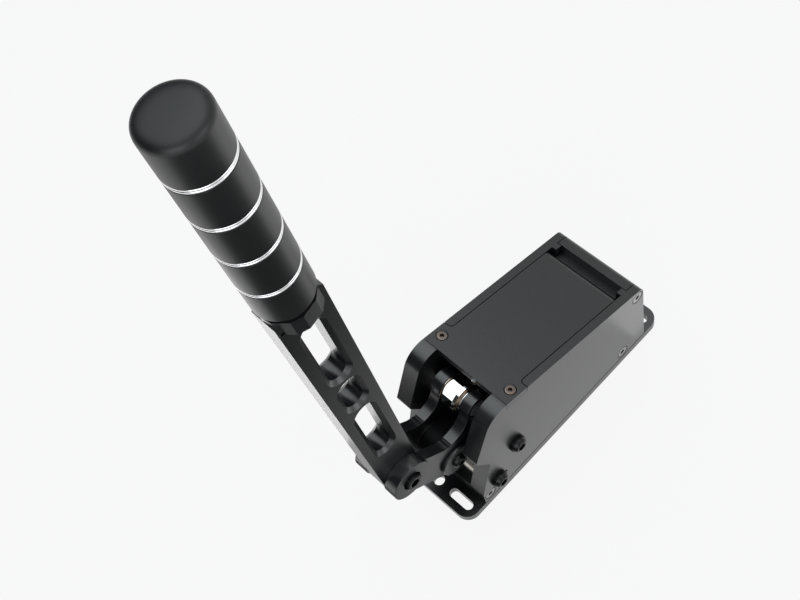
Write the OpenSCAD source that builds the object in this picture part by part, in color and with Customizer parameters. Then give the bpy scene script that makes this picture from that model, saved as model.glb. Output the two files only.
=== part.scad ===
// Sim racing handbrake: a long arm with a banded grip, clamped between two dog-leg yoke plates that
// swing on a pivot block inside a wedge-shaped housing and push a sprung cylinder.
// Millimetres. +X runs from the lever towards the closed rear of the housing, +Z is up.
// The origin is the centre of the base plate's underside.

/* [Base plate] */
// Length of the base plate
base_len = 196.5; // [192:0.5:204]
// Thickness of the base plate
base_t = 6.4; // [5:0.2:8]
// Corner radius of the base plate
base_corner_r = 9.5; // [6:0.5:12]
// Width of a mounting slot
slot_w = 6.7; // [5.5:0.1:8.5]
// Overall length of a mounting slot
slot_len = 19.3; // [14:0.1:21]
// Distance between the centres of the two slots of a pair
slot_pitch = 41.2; // [37:0.2:43]
// Distance from the end of the base plate to its slots
slot_margin = 9; // [7:0.5:10]
// Diameter of the hole between the slots of a pair
centre_hole_d = 7.7; // [6:0.1:11]

/* [Housing] */
// Outer width of the housing and the base plate
body_w = 70; // [67:0.5:78]
// Thickness of a side plate
side_t = 12; // [11:0.5:13]
// Height of the housing at the front edge of the lid
front_top_z = 106; // [104:0.5:112]
// Slope of the lid towards the rear, in degrees
lid_slope = 15; // [13:0.5:16]
// Front edge of the lid along X
lid_front_x = -44.3; // [-46:0.1:-42]
// Rear face of the housing along X
rear_x = 81.2; // [79:0.2:84]
// Radius of the housing's top front corner
shoulder_r = 16; // [10:1:20]
// Radius of the housing's top rear corner
rear_corner_r = 6; // [3:0.5:7]
// Lean of the front edge from the vertical, in degrees
front_lean = 28; // [24:1:30]
// Distance of the nose from the front of the foot
nose_back = 2.4; // [1:0.2:4]
// Distance of the foot from the front end of the base plate
foot_margin = 17.8; // [17:0.2:20]
// Width of the rail beside the lid
rail_w = 6.1; // [5.8:0.1:7]
// Height of the foot over the base plate
foot_h = 13.8; // [12:0.2:15]
// Thickness of the bars between the side plates
bar_w = 11; // [9:0.5:12]

/* [Lid] */
// Thickness of the lid
lid_t = 4; // [3:0.5:5]
// Length of the lid's wide front part, along the slope
lid_wide_len = 18.3; // [16:0.5:20]
// Length of the flat part of the lid, along the slope
lid_flat_len = 105; // [102:0.5:106]
// Radius that the lid's rear end rolls down with
lid_roll_r = 9; // [6:0.5:9]
// Gap around the lid and the rear cap
seam = 0.25; // [0.15:0.05:0.4]
// Length of the tongue between recess and rear cap, along the slope
tongue_len = 5.4; // [4:0.2:6]
// Distance that the tongue reaches inwards from the rail
tongue_reach = 3.5; // [2:0.5:4.5]
// Thickness of the rear cap
cap_t = 10; // [9:0.5:12]
// Depth of the recess in front of the rear cap
recess_depth = 7; // [5:0.5:8]

/* [Yoke and pivots] */
// Main pivot along X
pivot_x = -79.5; // [-80:0.1:-79]
// Main pivot height
pivot_z = 56.5; // [55:0.5:58]
// Knuckle axis ahead of the main pivot
knuckle_dx = 33.3; // [32:0.1:35]
// Knuckle axis above the main pivot
knuckle_dz = 30.4; // [29:0.2:32]
// Clevis axis behind the main pivot
clevis_dx = 26.2; // [25.6:0.1:27]
// Clevis axis above the main pivot
clevis_dz = 31.3; // [31:0.1:32]
// Gap between the two yoke plates
yoke_gap = 16.2; // [15.6:0.1:16.6]
// Thickness of a yoke plate
yoke_t = 7.7; // [7:0.1:8.2]
// Radius of the knuckle boss
knuckle_r = 14.6; // [14.2:0.2:16]
// Height of the knuckle boss over the yoke plate
knuckle_proud = 1.7; // [1:0.1:2.2]
// Half width of the yoke plate at the knuckle
neck_r = 13.5; // [12:0.5:14]
// Radius of the yoke plate round the main pivot
pivot_lobe_r = 14.2; // [13.4:0.2:15]
// Radius of the yoke plate round the clevis pin
clevis_lobe_r = 8.8; // [8.6:0.2:9.6]
// Radius of the hollow between knuckle and clevis
valley_r = 15.5; // [13:0.5:17]
// Radius of the main pivot shaft
shaft_r = 7; // [6:0.5:7.5]
// Radius of the pivot washer
pivot_washer_r = 12.6; // [11:0.2:13]
// Thickness of the pivot washer
pivot_washer_t = 2.6; // [2:0.2:3]
// Radius of the knuckle pin
knuckle_pin_r = 6; // [5.5:0.25:7]
// Radius of the clevis pin
clevis_pin_r = 6; // [5:0.25:6]
// Half width of the rod end that hangs on the clevis pin
rod_end_half = 6; // [5:0.1:6.4]
// Thickness of the rod end's flange
rod_flange_t = 2.3; // [1.5:0.1:3]

/* [Pivot block] */
// Half thickness of the pivot block
block_half = 6.6; // [6.2:0.1:6.8]
// Wall of a pivot bush
bush_wall = 2; // [1.5:0.25:2.5]
// Radius of a bush flange
bush_flange_r = 11; // [10:0.5:12]
// Upper frame bolt behind the main pivot
upper_bolt_dx = 34.7; // [34:0.1:35.5]
// Upper frame bolt below the main pivot
upper_bolt_dz = 10.2; // [9:0.2:11]
// Lower frame bolt behind the main pivot
lower_bolt_dx = 14.1; // [13.5:0.1:15]
// Height of the lower frame bolt over the base plate
lower_bolt_h = 17.5; // [17:0.1:19]
// Radius of the frame bolts
frame_bolt_r = 4; // [3:0.25:4.25]
// Radius of the spacers on the frame bolts
spacer_r = 8.5; // [8.3:0.1:9]
// Radius of the dowels beside the lower frame bolts
dowel_r = 1.3; // [0.8:0.1:1.4]

/* [Arm] */
// Forward lean of the arm, in degrees
arm_lean = 1.7; // [0:0.1:4]
// Width of the arm at the knuckle
arm_w_low = 27.4; // [26:0.2:28]
// Width of the arm at the grip
arm_w_high = 30.4; // [29:0.2:31]
// Height of the collar's underside over the knuckle axis
collar_z = 215.2; // [213:0.2:219]
// Height of the collar
collar_h = 11.6; // [10:0.2:13]
// Width across the flats of the collar
collar_af = 28.8; // [27:0.2:30]
// Width across the collar's cut corners
collar_corner_af = 29.6; // [28:0.2:31]
// Turn of the collar's flats from the arm's faces, in degrees
collar_turn = 9; // [0:1:15]
// Width of the windows
window_w = 17; // [14:0.5:18]
// Foot of the lowest window over the knuckle axis
window_foot = 37.5; // [34:0.5:41]
// Height of the two long windows
window_long = 65.5; // [60:0.5:66]
// Height of the middle window
window_short = 33.5; // [30:0.5:34]
// Rib between two windows
window_rib = 2.4; // [2:0.1:3.5]
// Chamfer round the windows
window_chamfer = 2.5; // [1:0.25:3]

/* [Grip] */
// Radius of the grip
grip_r = 16; // [15:0.25:17.5]
// Groove between collar and grip
grip_groove = 5; // [4:0.2:6]
// Height of the first bright ring over the grip's foot
first_band = 23.6; // [21:0.2:26]
// Pitch of the bright rings
band_pitch = 27.5; // [25:0.5:30]
// Height of the grip's end over the last bright ring
last_band = 28; // [24:0.5:30]
// Width of a bright ring
ring_w = 3; // [2:0.1:3.4]
// Depth of the groove turned in a bright ring
ring_groove = 0.5; // [0.2:0.1:0.8]
// Edge radius of the grip's end
cap_edge_r = 5; // [3:0.5:7]
// Radius of the rod inside the grip
rod_core_r = 6.5; // [5:0.5:7]

/* [Cylinder] */
// Rear cylinder pivot along X
trunnion_x = 33; // [32:0.2:34]
// Height of the rear cylinder pivot over the base plate
trunnion_h = 10.8; // [10.6:0.1:12]
// Outer radius of the cylinder
cyl_r = 15; // [14.4:0.2:15.6]
// Bore radius of the cylinder
cyl_bore_r = 11; // [10:0.2:12]
// Front end of the cylinder behind the clevis axis
cyl_start = 37; // [36.5:0.5:39]
// Length of the cylinder
cyl_len = 61; // [58:0.5:62]
// Radius of the push rod
push_rod_r = 5; // [4:0.25:5.5]
// Stroke of the piston over the full pull
stroke = 10.6; // [10.6:0.1:12]
// Radius of the rear cylinder pin
trunnion_pin_r = 5; // [4:0.25:5.5]

/* [Fasteners] */
// Radius of the side screws
side_screw_r = 2.5; // [2:0.25:3]
// Radius of the side screws' heads
side_head_r = 5; // [4.4:0.1:5.4]
// Radius of the lid screws
lid_screw_r = 2; // [1.5:0.25:2.5]
// Radius of the lid screws' heads
lid_head_r = 4; // [3.4:0.1:4.4]
// Clearance of screws and pins in the holes they are fixed in
fix_gap = 0.05; // [0.03:0.01:0.1]
// Radial clearance of running fits
run_gap = 0.05; // [0.03:0.01:0.09]

/* [Hidden] */
$fn = 64;
ring_count = 4;

black = [0.13, 0.14, 0.15];
dark = [0.08, 0.08, 0.09];
steel = [0.72, 0.73, 0.75];
chrome = [0.86, 0.86, 0.88];
brass = [0.78, 0.68, 0.45];
bronze = [0.42, 0.36, 0.33];

half_w = body_w / 2;
inner_y = half_w - side_t;
rail_y = half_w - rail_w;
front_x = -base_len / 2;
slot_x = base_len / 2 - slot_margin;
eps = 0.01;
clearance = 0.4;

// Points on the housing's outline.
foot_x = front_x + foot_margin;
foot_top_z = base_t + foot_h;
pivot = [pivot_x, pivot_z];
knuckle = pivot + [-knuckle_dx, knuckle_dz];
clevis = pivot + [clevis_dx, clevis_dz];
nose = [foot_x + nose_back, pivot_z + 15];
notch = [pivot_x + 11.4, pivot_z - 2.6];
slope_rise = tan(lid_slope);
lean_run = tan(front_lean);
function top_z(x) = front_top_z - slope_rise * (x - lid_front_x);
shoulder_z = (front_top_z - slope_rise * (nose[0] - lean_run * nose[1] - lid_front_x))
    / (1 + slope_rise * lean_run);
shoulder = [nose[0] + lean_run * (shoulder_z - nose[1]), shoulder_z];

// Frame bolts, spacers and the bars between the side plates.
upper_bolt = pivot + [upper_bolt_dx, -upper_bolt_dz];
lower_bolt = [pivot_x + lower_bolt_dx, base_t + lower_bolt_h];
thin_washer_t = 1.1;
thin_washer_count = 4;
lower_spacer_y = block_half + thin_washer_t * thin_washer_count;
frame_head_r = frame_bolt_r + 2.3;
frame_head_h = 5;
flange_t = 1.2;
dowel = lower_bolt + (frame_head_r + dowel_r + 0.15) * polar(-24);
front_screw = [foot_x + bar_w / 2 + 0.2, base_t + foot_h / 2];
rear_screw_dx = 22.6;
rear_screw_h = 6.4;
rear_screw = [rear_x - rear_screw_dx, base_t + rear_screw_h];
rear_bar_x = rear_screw[0] - bar_w / 2;
cap_screw_dx = 5.9;
cap_screw_drop = 7.1;
cap_screw = [rear_x - cap_screw_dx, top_z(rear_x - cap_screw_dx) - cap_screw_drop];
side_screws_at = [front_screw, rear_screw, cap_screw];
screw_reach = 10;
side_screw_len = side_t + screw_reach;
head_inset = 0.2;
base_screw_y = 7.5;
base_screw_len = base_t + 4.5;

// Distances along the sloping lid.
wide_end = lid_wide_len;
roll_start = lid_flat_len;
roll_end = roll_start + lid_roll_r;
tongue_start = roll_end + seam;
tongue_end = tongue_start + tongue_len;
lid_screw_u = 9.8;
lid_screw_y = half_w - 6.4;
lid_screw_len = 12;
corner_fillet = 2.5;
pocket_depth = lid_roll_r + 3;

// Yoke, bushes and clevis.
yoke_in = yoke_gap / 2;
yoke_out = yoke_in + yoke_t;
knuckle_out = yoke_out + knuckle_proud;
lobe_bite = 0.7;
valley = clevis + (clevis_lobe_r + valley_r - lobe_bite) * polar(170);
neck_bite = 0.1;
neck_turn = atan2(valley[1] - knuckle[1], valley[0] - knuckle[0])
    - asin((neck_r + valley_r - neck_bite) / norm(valley - knuckle));
hollow_end = valley - 3 * valley_r * polar(neck_turn);
bush_r = shaft_r + run_gap + bush_wall;
block_pivot_r = bush_r + 3;
block_bolt_r = frame_bolt_r + 4.2;
pivot_thread_r = 3;
knuckle_bolt_r = 4;
knuckle_head_r = 6;
knuckle_head_h = 8;
knuckle_head_proud = 2.3;
counterbore_r = knuckle_head_r + 0.8;
counterbore_depth = knuckle_head_h - knuckle_head_proud;
arm_half_t = yoke_in - run_gap;
rod_end_af = 3.17 * clevis_pin_r;
rod_end_r = rod_end_af / sqrt(3);
side_gap = 0.15;
clevis_washer_t = 0.8;
clevis_washer_y = rod_end_half + side_gap;
clevis_spacer_y = clevis_washer_y + clevis_washer_t;

// Arm and grip heights over the knuckle axis.
arm_top = collar_z + collar_h;
grip_z = arm_top + grip_groove;
function ring_z(i) = grip_z + first_band + band_pitch * (i - 1);
rod_foot = collar_z - 4;
lock_screw_r = 1.2;
cap_wall = 10;
grip_top = ring_z(ring_count) + last_band;
window_mid_foot = window_foot + window_long + window_rib;
window_high_foot = window_mid_foot + window_short + window_rib;

// The cylinder's axis runs from the clevis to the rear pivot.
trunnion = [trunnion_x, base_t + trunnion_h];
cyl_span = norm(trunnion - clevis);
cyl_tilt = atan2(clevis[1] - trunnion[1], trunnion[0] - clevis[0]);
eye_bore_r = clevis_pin_r + 0.65;
piston_start = cyl_start + 8;
piston_len = 10;
piston_end = piston_start + piston_len;
cyl_end = cyl_start + cyl_len;
bore_end = cyl_end - 6;
bump_len = 10;
bump_start = bore_end - bump_len;
spring_gap = 0.3;
rod_end = piston_start + 4;
gland_flange_t = 4;
lock_nut_t = 5;
lock_nut_at = cyl_start - gland_flange_t - stroke - lock_nut_t - 0.4;
rod_socket_r = push_rod_r + 2.4;
rod_socket_from = rod_end_r + 0.05;
rod_socket_to = lock_nut_at - 0.2;
sensor_af = 14;
sensor_stub_r = 3;
trunnion_eye_r = trunnion_pin_r + 4;
trunnion_eye_half = 6;
bracket_half = 14;
bracket_r = trunnion_pin_r + 4;

// Rear panel and board.
panel_t = 3;
panel_top_z = top_z(rear_x) - cap_t - 2.2;
board_w = 38;
board_h = 34;
board_t = 1.6;
board_z = base_t + 10;
standoff_len = 7;
board_x = rear_x - 1 - panel_t - standoff_len - board_t;
usb_size = [12, 10.8];
usb_y = -10;
data_size = [15, 13];
data_y = 9;
socket_len = standoff_len + panel_t + 0.8;

// Point on the unit circle at an angle.
function polar(a) = [cos(a), sin(a)];

// Outline of a belt round circles with centres c and radii r, counter-clockwise.
function belt_normal(ca, ra, cb, rb) =
    atan2(cb[1] - ca[1], cb[0] - ca[0]) - 90 + asin((ra - rb) / norm(cb - ca));
function belt(c, r, steps = 16) = [
    for (i = [0:len(c) - 1])
        let (
            before = (i + len(c) - 1) % len(c),
            after = (i + 1) % len(c),
            a0 = belt_normal(c[before], r[before], c[i], r[i]),
            a1 = belt_normal(c[i], r[i], c[after], r[after]),
            sweep = (a1 - a0 + 720) % 360
        )
        for (k = [0:steps]) c[i] + r[i] * polar(a0 + sweep * k / steps)
];

// Outline through points p whose corners are rounded with radii r.
function round_corner(a, p, b, r, steps) =
    let (
        u = (a - p) / norm(a - p),
        v = (b - p) / norm(b - p),
        half = acos(u * v) / 2,
        centre = p + (u + v) / norm(u + v) * r / sin(half),
        from = p + u * r / tan(half) - centre,
        to = p + v * r / tan(half) - centre,
        a0 = atan2(from[1], from[0]),
        sweep = (atan2(to[1], to[0]) - a0 + 540) % 360 - 180
    )
    [for (k = [0:steps]) centre + r * polar(a0 + sweep * k / steps)];
function rounded(p, r, steps = 8) = [
    for (i = [0:len(p) - 1])
        let (before = p[(i + len(p) - 1) % len(p)], after = p[(i + 1) % len(p)])
        each r[i] > 0 ? round_corner(before, p[i], after, r[i], steps) : [p[i]]
];

// Plate with an outline in X and Z, between two values of Y.
module plate_y(outline, y0, y1) {
    translate([0, y1, 0])
        rotate([90, 0, 0])
            linear_extrude(y1 - y0)
                polygon(outline);
}

// Round bar along Y at a point in X and Z.
module bar_y(at, r, y0, y1) {
    translate([at[0], y1, at[1]])
        rotate([90, 0, 0])
            cylinder(r = r, h = y1 - y0);
}

// Cone along Y at a point in X and Z.
module cone_y(at, r0, r1, y0, y1) {
    translate([at[0], y0, at[1]])
        rotate([-90, 0, 0])
            cylinder(r1 = r0, r2 = r1, h = y1 - y0);
}

// Hexagonal bar along Z, given across the flats.
module hex_bar(af, h) {
    cylinder(r = af / sqrt(3), h = h, $fn = 6);
}

// Both sides of what is drawn on the +Y side.
module both_sides() {
    children();
    mirror([0, 1, 0]) children();
}

// Frame on the lid: X along the slope, Z square to it, zero at the lid's front edge.
module on_slope() {
    translate([lid_front_x, 0, front_top_z])
        rotate([0, lid_slope, 0])
            children();
}

// Frame on the arm: origin on the knuckle axis, Z along the arm.
module on_arm() {
    translate([knuckle[0], 0, knuckle[1]])
        rotate([0, -arm_lean, 0])
            children();
}

// Frame on the cylinder: origin on the clevis axis, X towards the rear pivot.
module on_cylinder() {
    translate([clevis[0], 0, clevis[1]])
        rotate([0, cyl_tilt, 0])
            children();
}

// Round bar along the local X axis.
module bar_x(r, x0, x1) {
    translate([x0, 0, 0])
        rotate([0, 90, 0])
            cylinder(r = r, h = x1 - x0);
}

// Slot along Y with round ends, cut through a plate that lies flat.
module slot_y(w, len, z0, z1) {
    reach = (len - w) / 2;
    for (s = [-1, 1])
        translate([0, s * reach, z0])
            cylinder(r = w / 2, h = z1 - z0);
    translate([-w / 2, -reach, z0])
        cube([w, 2 * reach, z1 - z0]);
}

// Countersunk screw with a hexagon socket: head just below zero, shank down along Z.
module countersunk_screw(r, head_r, len) {
    head_h = head_r - r;
    translate([0, 0, -head_inset])
        difference() {
            union() {
                translate([0, 0, -head_h]) cylinder(r1 = r, r2 = head_r, h = head_h);
                translate([0, 0, -len]) cylinder(r = r, h = len - head_h + eps);
            }
            translate([0, 0, -head_h * 0.8]) hex_bar(head_r * 0.62, head_h);
        }
}

// Hole for that screw, with its countersink.
module countersunk_hole(r, head_r, len) {
    head_h = head_r - r;
    rim = head_r + fix_gap;
    translate([0, 0, -head_inset - head_h]) cylinder(r1 = r + fix_gap, r2 = rim, h = head_h);
    translate([0, 0, -head_inset - eps]) cylinder(r = rim, h = head_inset + 1);
    translate([0, 0, -len - 1]) cylinder(r = r + fix_gap, h = len);
}

// Frame for a fastener driven inwards from the +Y side.
module driven_in_y(at, y) {
    translate([at[0], y, at[1]])
        rotate([-90, 0, 0])
            children();
}

// Base plate with a pair of slots and a hole at each end.
module base_plate() {
    x_in = base_len / 2 - base_corner_r;
    y_in = half_w - base_corner_r;
    color(black)
        difference() {
            union() {
                translate([-x_in, -half_w, 0]) cube([2 * x_in, body_w, base_t]);
                translate([-base_len / 2, -y_in, 0]) cube([base_len, 2 * y_in, base_t]);
                for (sx = [-1, 1], sy = [-1, 1])
                    translate([sx * x_in, sy * y_in, 0]) cylinder(r = base_corner_r, h = base_t);
            }
            for (sx = [-1, 1]) {
                for (sy = [-1, 1])
                    translate([sx * slot_x, sy * slot_pitch / 2, 0])
                        slot_y(slot_w, slot_len, -1, base_t + 1);
                translate([sx * slot_x, 0, -1]) cylinder(r = centre_hole_d / 2, h = base_t + 2);
            }
            base_screw_places()
                countersunk_hole(side_screw_r, side_head_r, base_screw_len);
        }
}

// Places of the screws driven up through the base plate.
module base_screw_places() {
    for (x = [front_screw[0], rear_screw[0], trunnion[0]], sy = [-1, 1]) {
        y = x == trunnion[0] ? (trunnion_eye_half + bracket_half) / 2 : base_screw_y;
        translate([x, sy * y, 0]) rotate([180, 0, 0]) children();
    }
}

module base_screws() {
    color(steel)
        base_screw_places()
            countersunk_screw(side_screw_r, side_head_r, base_screw_len);
}

// Outline of a side plate, from the rear foot round to the top.
side_outline = rounded(
    [
        [rear_x, base_t],
        [rear_x, top_z(rear_x)],
        shoulder,
        nose,
        notch,
        [foot_x, foot_top_z],
        [foot_x, base_t]
    ],
    [0, rear_corner_r, shoulder_r, 3, 1.5, 2, 0]
);

// Side plate on the +Y side, with the ledges that carry the lid and the rear cap.
module side_plate() {
    difference() {
        plate_y(side_outline, inner_y, half_w);
        on_slope() {
            translate([-eps, 0, -lid_t]) cube([wide_end + seam, half_w + 1, lid_t + 5]);
            translate([0, 0, -lid_t]) lid_ledge_cut();
            translate([roll_start - 1, 0, -pocket_depth])
                cube([tongue_start - roll_start + 1, rail_y, pocket_depth + 5]);
            translate([tongue_start - eps, 0, -pocket_depth])
                cube([tongue_len + 2 * eps, rail_y - tongue_reach, pocket_depth + 5]);
            translate([tongue_end, 0, -cap_t - seam]) cube([40, rail_y, cap_t + 5]);
            translate([lid_screw_u, lid_screw_y, 0])
                countersunk_hole(lid_screw_r, lid_head_r, lid_screw_len);
        }
        for (at = side_screws_at)
            driven_in_y(at, half_w)
                countersunk_hole(side_screw_r, side_head_r, side_t + 1);
        for (at = [upper_bolt, lower_bolt])
            bar_y(at, frame_bolt_r + fix_gap, inner_y - 1, half_w + 1);
        bar_y(dowel, dowel_r + fix_gap, inner_y - 1, half_w + 1);
    }
}

// Cut for the lid between the rails, with the rail's front corner rounded.
module lid_ledge_cut() {
    start = wide_end + seam;
    difference() {
        translate([start - eps, 0, 0])
            cube([tongue_start - start, rail_y + corner_fillet, lid_t + 5]);
        translate([start + corner_fillet, rail_y, -1])
            cube([tongue_start, corner_fillet + 1, lid_t + 7]);
        translate([start + corner_fillet, rail_y + corner_fillet, -1])
            cylinder(r = corner_fillet, h = lid_t + 7);
    }
}

module side_plate_left() {
    color(black) side_plate();
}

module side_plate_right() {
    color(black) mirror([0, 1, 0]) side_plate();
}

// T-shaped lid whose rear end rolls down into the recess.
module lid() {
    narrow_y = rail_y - seam;
    color(black)
        on_slope()
            difference() {
                union() {
                    translate([0, -half_w, -lid_t])
                        cube([wide_end, body_w, lid_t]);
                    translate([wide_end - 1, -narrow_y, -lid_t])
                        cube([roll_start - wide_end + 1, 2 * narrow_y, lid_t]);
                    both_sides() lid_corner();
                    intersection() {
                        difference() {
                            bar_y([roll_start, -lid_roll_r], lid_roll_r, -narrow_y, narrow_y);
                            bar_y([roll_start, -lid_roll_r], lid_roll_r - lid_t,
                                -half_w, half_w);
                        }
                        translate([roll_start, -half_w, -lid_roll_r]) cube([20, body_w, 20]);
                    }
                    translate([roll_end - lid_t + seam / 2, -narrow_y, -lid_roll_r - 2])
                        cube([lid_t, 2 * narrow_y, 2 + eps]);
                }
                for (sy = [-1, 1])
                    translate([lid_screw_u, sy * lid_screw_y, 0])
                        countersunk_hole(lid_screw_r, lid_head_r, lid_t + 1);
            }
}

// Fillet in the inner corner of the lid's T, on the +Y side.
module lid_corner() {
    r = corner_fillet;
    translate([wide_end, rail_y - seam, -lid_t])
        difference() {
            cube([r, r, lid_t]);
            translate([r, r, -1]) cylinder(r = r, h = lid_t + 2);
        }
}

module lid_screws() {
    color(bronze)
        on_slope()
            for (sy = [-1, 1])
                translate([lid_screw_u, sy * lid_screw_y, 0])
                    countersunk_screw(lid_screw_r, lid_head_r, lid_screw_len);
}

module side_screws() {
    color(steel)
        both_sides()
            for (at = side_screws_at)
                driven_in_y(at, half_w)
                    countersunk_screw(side_screw_r, side_head_r, side_screw_len);
}

// Rear cap: a bar across the back, a shelf below the recess and a skirt that takes the screws.
module rear_cap() {
    bar_y_half = rail_y - seam;
    shelf_y = rail_y - tongue_reach - seam;
    color(black)
        difference() {
            intersection() {
                on_slope()
                    union() {
                        translate([tongue_end + seam, -bar_y_half, -cap_t])
                            cube([40, 2 * bar_y_half, cap_t]);
                        translate([tongue_start + seam, -shelf_y, -cap_t])
                            cube([tongue_len + 1, 2 * shelf_y, cap_t - recess_depth]);
                    }
                plate_y(side_outline, -half_w, half_w);
            }
            both_sides()
                driven_in_y(cap_screw, half_w)
                    countersunk_hole(side_screw_r, side_head_r, side_screw_len);
        }
}

// Bar between the side plates, tapped from its ends and from below.
module cross_bar(x, screw) {
    difference() {
        translate([x, -inner_y, base_t]) cube([bar_w, 2 * inner_y, foot_h]);
        both_sides()
            driven_in_y(screw, half_w)
                countersunk_hole(side_screw_r, side_head_r, side_screw_len);
        for (sy = [-1, 1])
            translate([screw[0], sy * base_screw_y, base_t - 1])
                cylinder(r = side_screw_r + fix_gap, h = base_screw_len - base_t + 2);
    }
}

module front_bar() {
    color(black)
        difference() {
            cross_bar(foot_x, front_screw);
            bar_y(lower_bolt, spacer_r + clearance, -half_w, half_w);
            plate_y(block_outline(clearance), -block_half - clearance, block_half + clearance);
        }
}

module rear_bar() {
    color(black) cross_bar(rear_bar_x, rear_screw);
}

// Outline of the pivot block, grown by a clearance.
function block_outline(gap) = belt(
    [pivot, lower_bolt, upper_bolt],
    [block_pivot_r + gap, block_bolt_r + gap, block_bolt_r + gap]
);

// Block that carries the main pivot between the yoke plates.
module pivot_block() {
    color(dark)
        difference() {
            plate_y(block_outline(0), -block_half, block_half);
            bar_y(pivot, bush_r + fix_gap, -block_half - 1, block_half + 1);
            for (at = [upper_bolt, lower_bolt])
                bar_y(at, frame_bolt_r + fix_gap, -block_half - 1, block_half + 1);
        }
}

module pivot_bushes() {
    flange_y = yoke_in - 0.1;
    color(brass)
        both_sides()
            difference() {
                union() {
                    bar_y(pivot, bush_r, 0.2, block_half + eps);
                    bar_y(pivot, bush_flange_r, block_half, flange_y);
                }
                bar_y(pivot, shaft_r + run_gap, -1, flange_y + 1);
            }
}

// Button-head bolt with a flange, driven inwards along Y.
module frame_bolt(at) {
    len = half_w - 1.5;
    driven_in_y(at, half_w)
        difference() {
            union() {
                cylinder(r = frame_head_r, h = flange_t);
                cylinder(r = frame_head_r - 0.8, h = frame_head_h - flange_t);
                translate([0, 0, frame_head_h - flange_t])
                    cylinder(r1 = frame_head_r - 0.8, r2 = frame_head_r - 2, h = flange_t);
                translate([0, 0, -len]) cylinder(r = frame_bolt_r, h = len + eps);
            }
            translate([0, 0, flange_t]) hex_bar(frame_bolt_r * 1.25, frame_head_h);
        }
}

module upper_frame_bolts() {
    color(dark) both_sides() frame_bolt(upper_bolt);
}

module lower_frame_bolts() {
    color(dark) both_sides() frame_bolt(lower_bolt);
}

module frame_spacer(at, y) {
    difference() {
        bar_y(at, spacer_r, y, inner_y);
        bar_y(at, frame_bolt_r + fix_gap, 0, half_w);
    }
}

module upper_spacers() {
    color(steel) both_sides() frame_spacer(upper_bolt, block_half);
}

module lower_spacers() {
    color(brass) both_sides() frame_spacer(lower_bolt, lower_spacer_y);
}

// Thin washers that line the lower spacers up against the pivot block.
module lower_washers() {
    color(dark)
        both_sides()
            for (i = [0:thin_washer_count - 1]) {
                y = block_half + i * thin_washer_t;
                difference() {
                    bar_y(lower_bolt, spacer_r - 0.6, y, y + thin_washer_t - 0.1);
                    bar_y(lower_bolt, frame_bolt_r + fix_gap, 0, half_w);
                }
            }
}

module dowel_pins() {
    color(steel) both_sides() bar_y(dowel, dowel_r, inner_y + 0.5, half_w + 0.3);
}

// Fork on the base plate that holds the rear end of the cylinder.
module rear_bracket() {
    foot_half = bracket_r + 1;
    cheek_in = trunnion_eye_half + 0.4;
    outline = concat(
        [[trunnion[0] - foot_half, base_t], [trunnion[0] + foot_half, base_t]],
        [for (k = [0:24]) trunnion + bracket_r * polar(k * 7.5)]
    );
    color(black)
        difference() {
            plate_y(outline, -bracket_half, bracket_half);
            translate([trunnion[0] - foot_half - 1, -cheek_in, base_t + 1])
                cube([2 * foot_half + 2, 2 * cheek_in, 40]);
            bar_y(trunnion, trunnion_pin_r + fix_gap, -half_w, half_w);
            for (sy = [-1, 1])
                translate([trunnion[0], sy * (trunnion_eye_half + bracket_half) / 2, base_t - 1])
                    cylinder(r = side_screw_r + fix_gap, h = base_screw_len - base_t + 1.3);
        }
}

module cylinder_pin() {
    color(steel) bar_y(trunnion, trunnion_pin_r, -bracket_half - 0.6, bracket_half + 0.6);
}

// Panel that closes the back, with the openings for the two sockets.
module rear_panel() {
    color(black)
        difference() {
            translate([rear_x - 1 - panel_t, -inner_y + 0.1, base_t])
                cube([panel_t, 2 * inner_y - 0.2, panel_top_z - base_t]);
            on_board(usb_y) socket_hole(usb_size);
            on_board(data_y) socket_hole(data_size);
            standoff_places()
                rotate([0, 90, 0])
                    translate([0, 0, -1]) cylinder(r = 1.25, h = panel_t + 2);
        }
}

// Frame on the board's rear face at a socket's place.
module on_board(y) {
    translate([board_x + board_t, y, board_z + board_h / 2 - 2]) children();
}

module socket_hole(size) {
    translate([0, -size[0] / 2 - 0.2, -size[1] / 2 - 0.2])
        cube([socket_len + 2, size[0] + 0.4, size[1] + 0.4]);
}

// Places of the four standoffs between the board and the rear panel.
module standoff_places() {
    for (sy = [-1, 1], sz = [0, 1])
        translate([rear_x - 1 - panel_t, sy * (board_w / 2 - 3), board_z + 3 + sz * (board_h - 6)])
            children();
}

module sensor_board() {
    color([0.05, 0.25, 0.14])
        difference() {
            translate([board_x, -board_w / 2, board_z]) cube([board_t, board_w, board_h]);
            standoff_places()
                translate([-standoff_len - board_t - 1, 0, 0])
                    rotate([0, 90, 0])
                        cylinder(r = 1.25, h = board_t + 2);
        }
}

module board_standoffs() {
    color(brass)
        standoff_places()
            translate([-standoff_len, 0, 0])
                rotate([0, 90, 0])
                    union() {
                        cylinder(r = 2.4, h = standoff_len);
                        translate([0, 0, -board_t]) cylinder(r = 1.2, h = standoff_len + board_t + panel_t);
                    }
}

// Socket body with its opening towards the rear.
module socket(size, opening, depth) {
    difference() {
        translate([0, -size[0] / 2, -size[1] / 2]) cube([socket_len, size[0], size[1]]);
        translate([socket_len - depth, -opening[0] / 2, -opening[1] / 2])
            cube([depth + 1, opening[0], opening[1]]);
    }
}

module usb_socket() {
    color(steel) on_board(usb_y) socket(usb_size, [8.4, 7.6], 8);
}

module data_socket() {
    color(dark) on_board(data_y) socket(data_size, [11, 7], 8);
}

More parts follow.
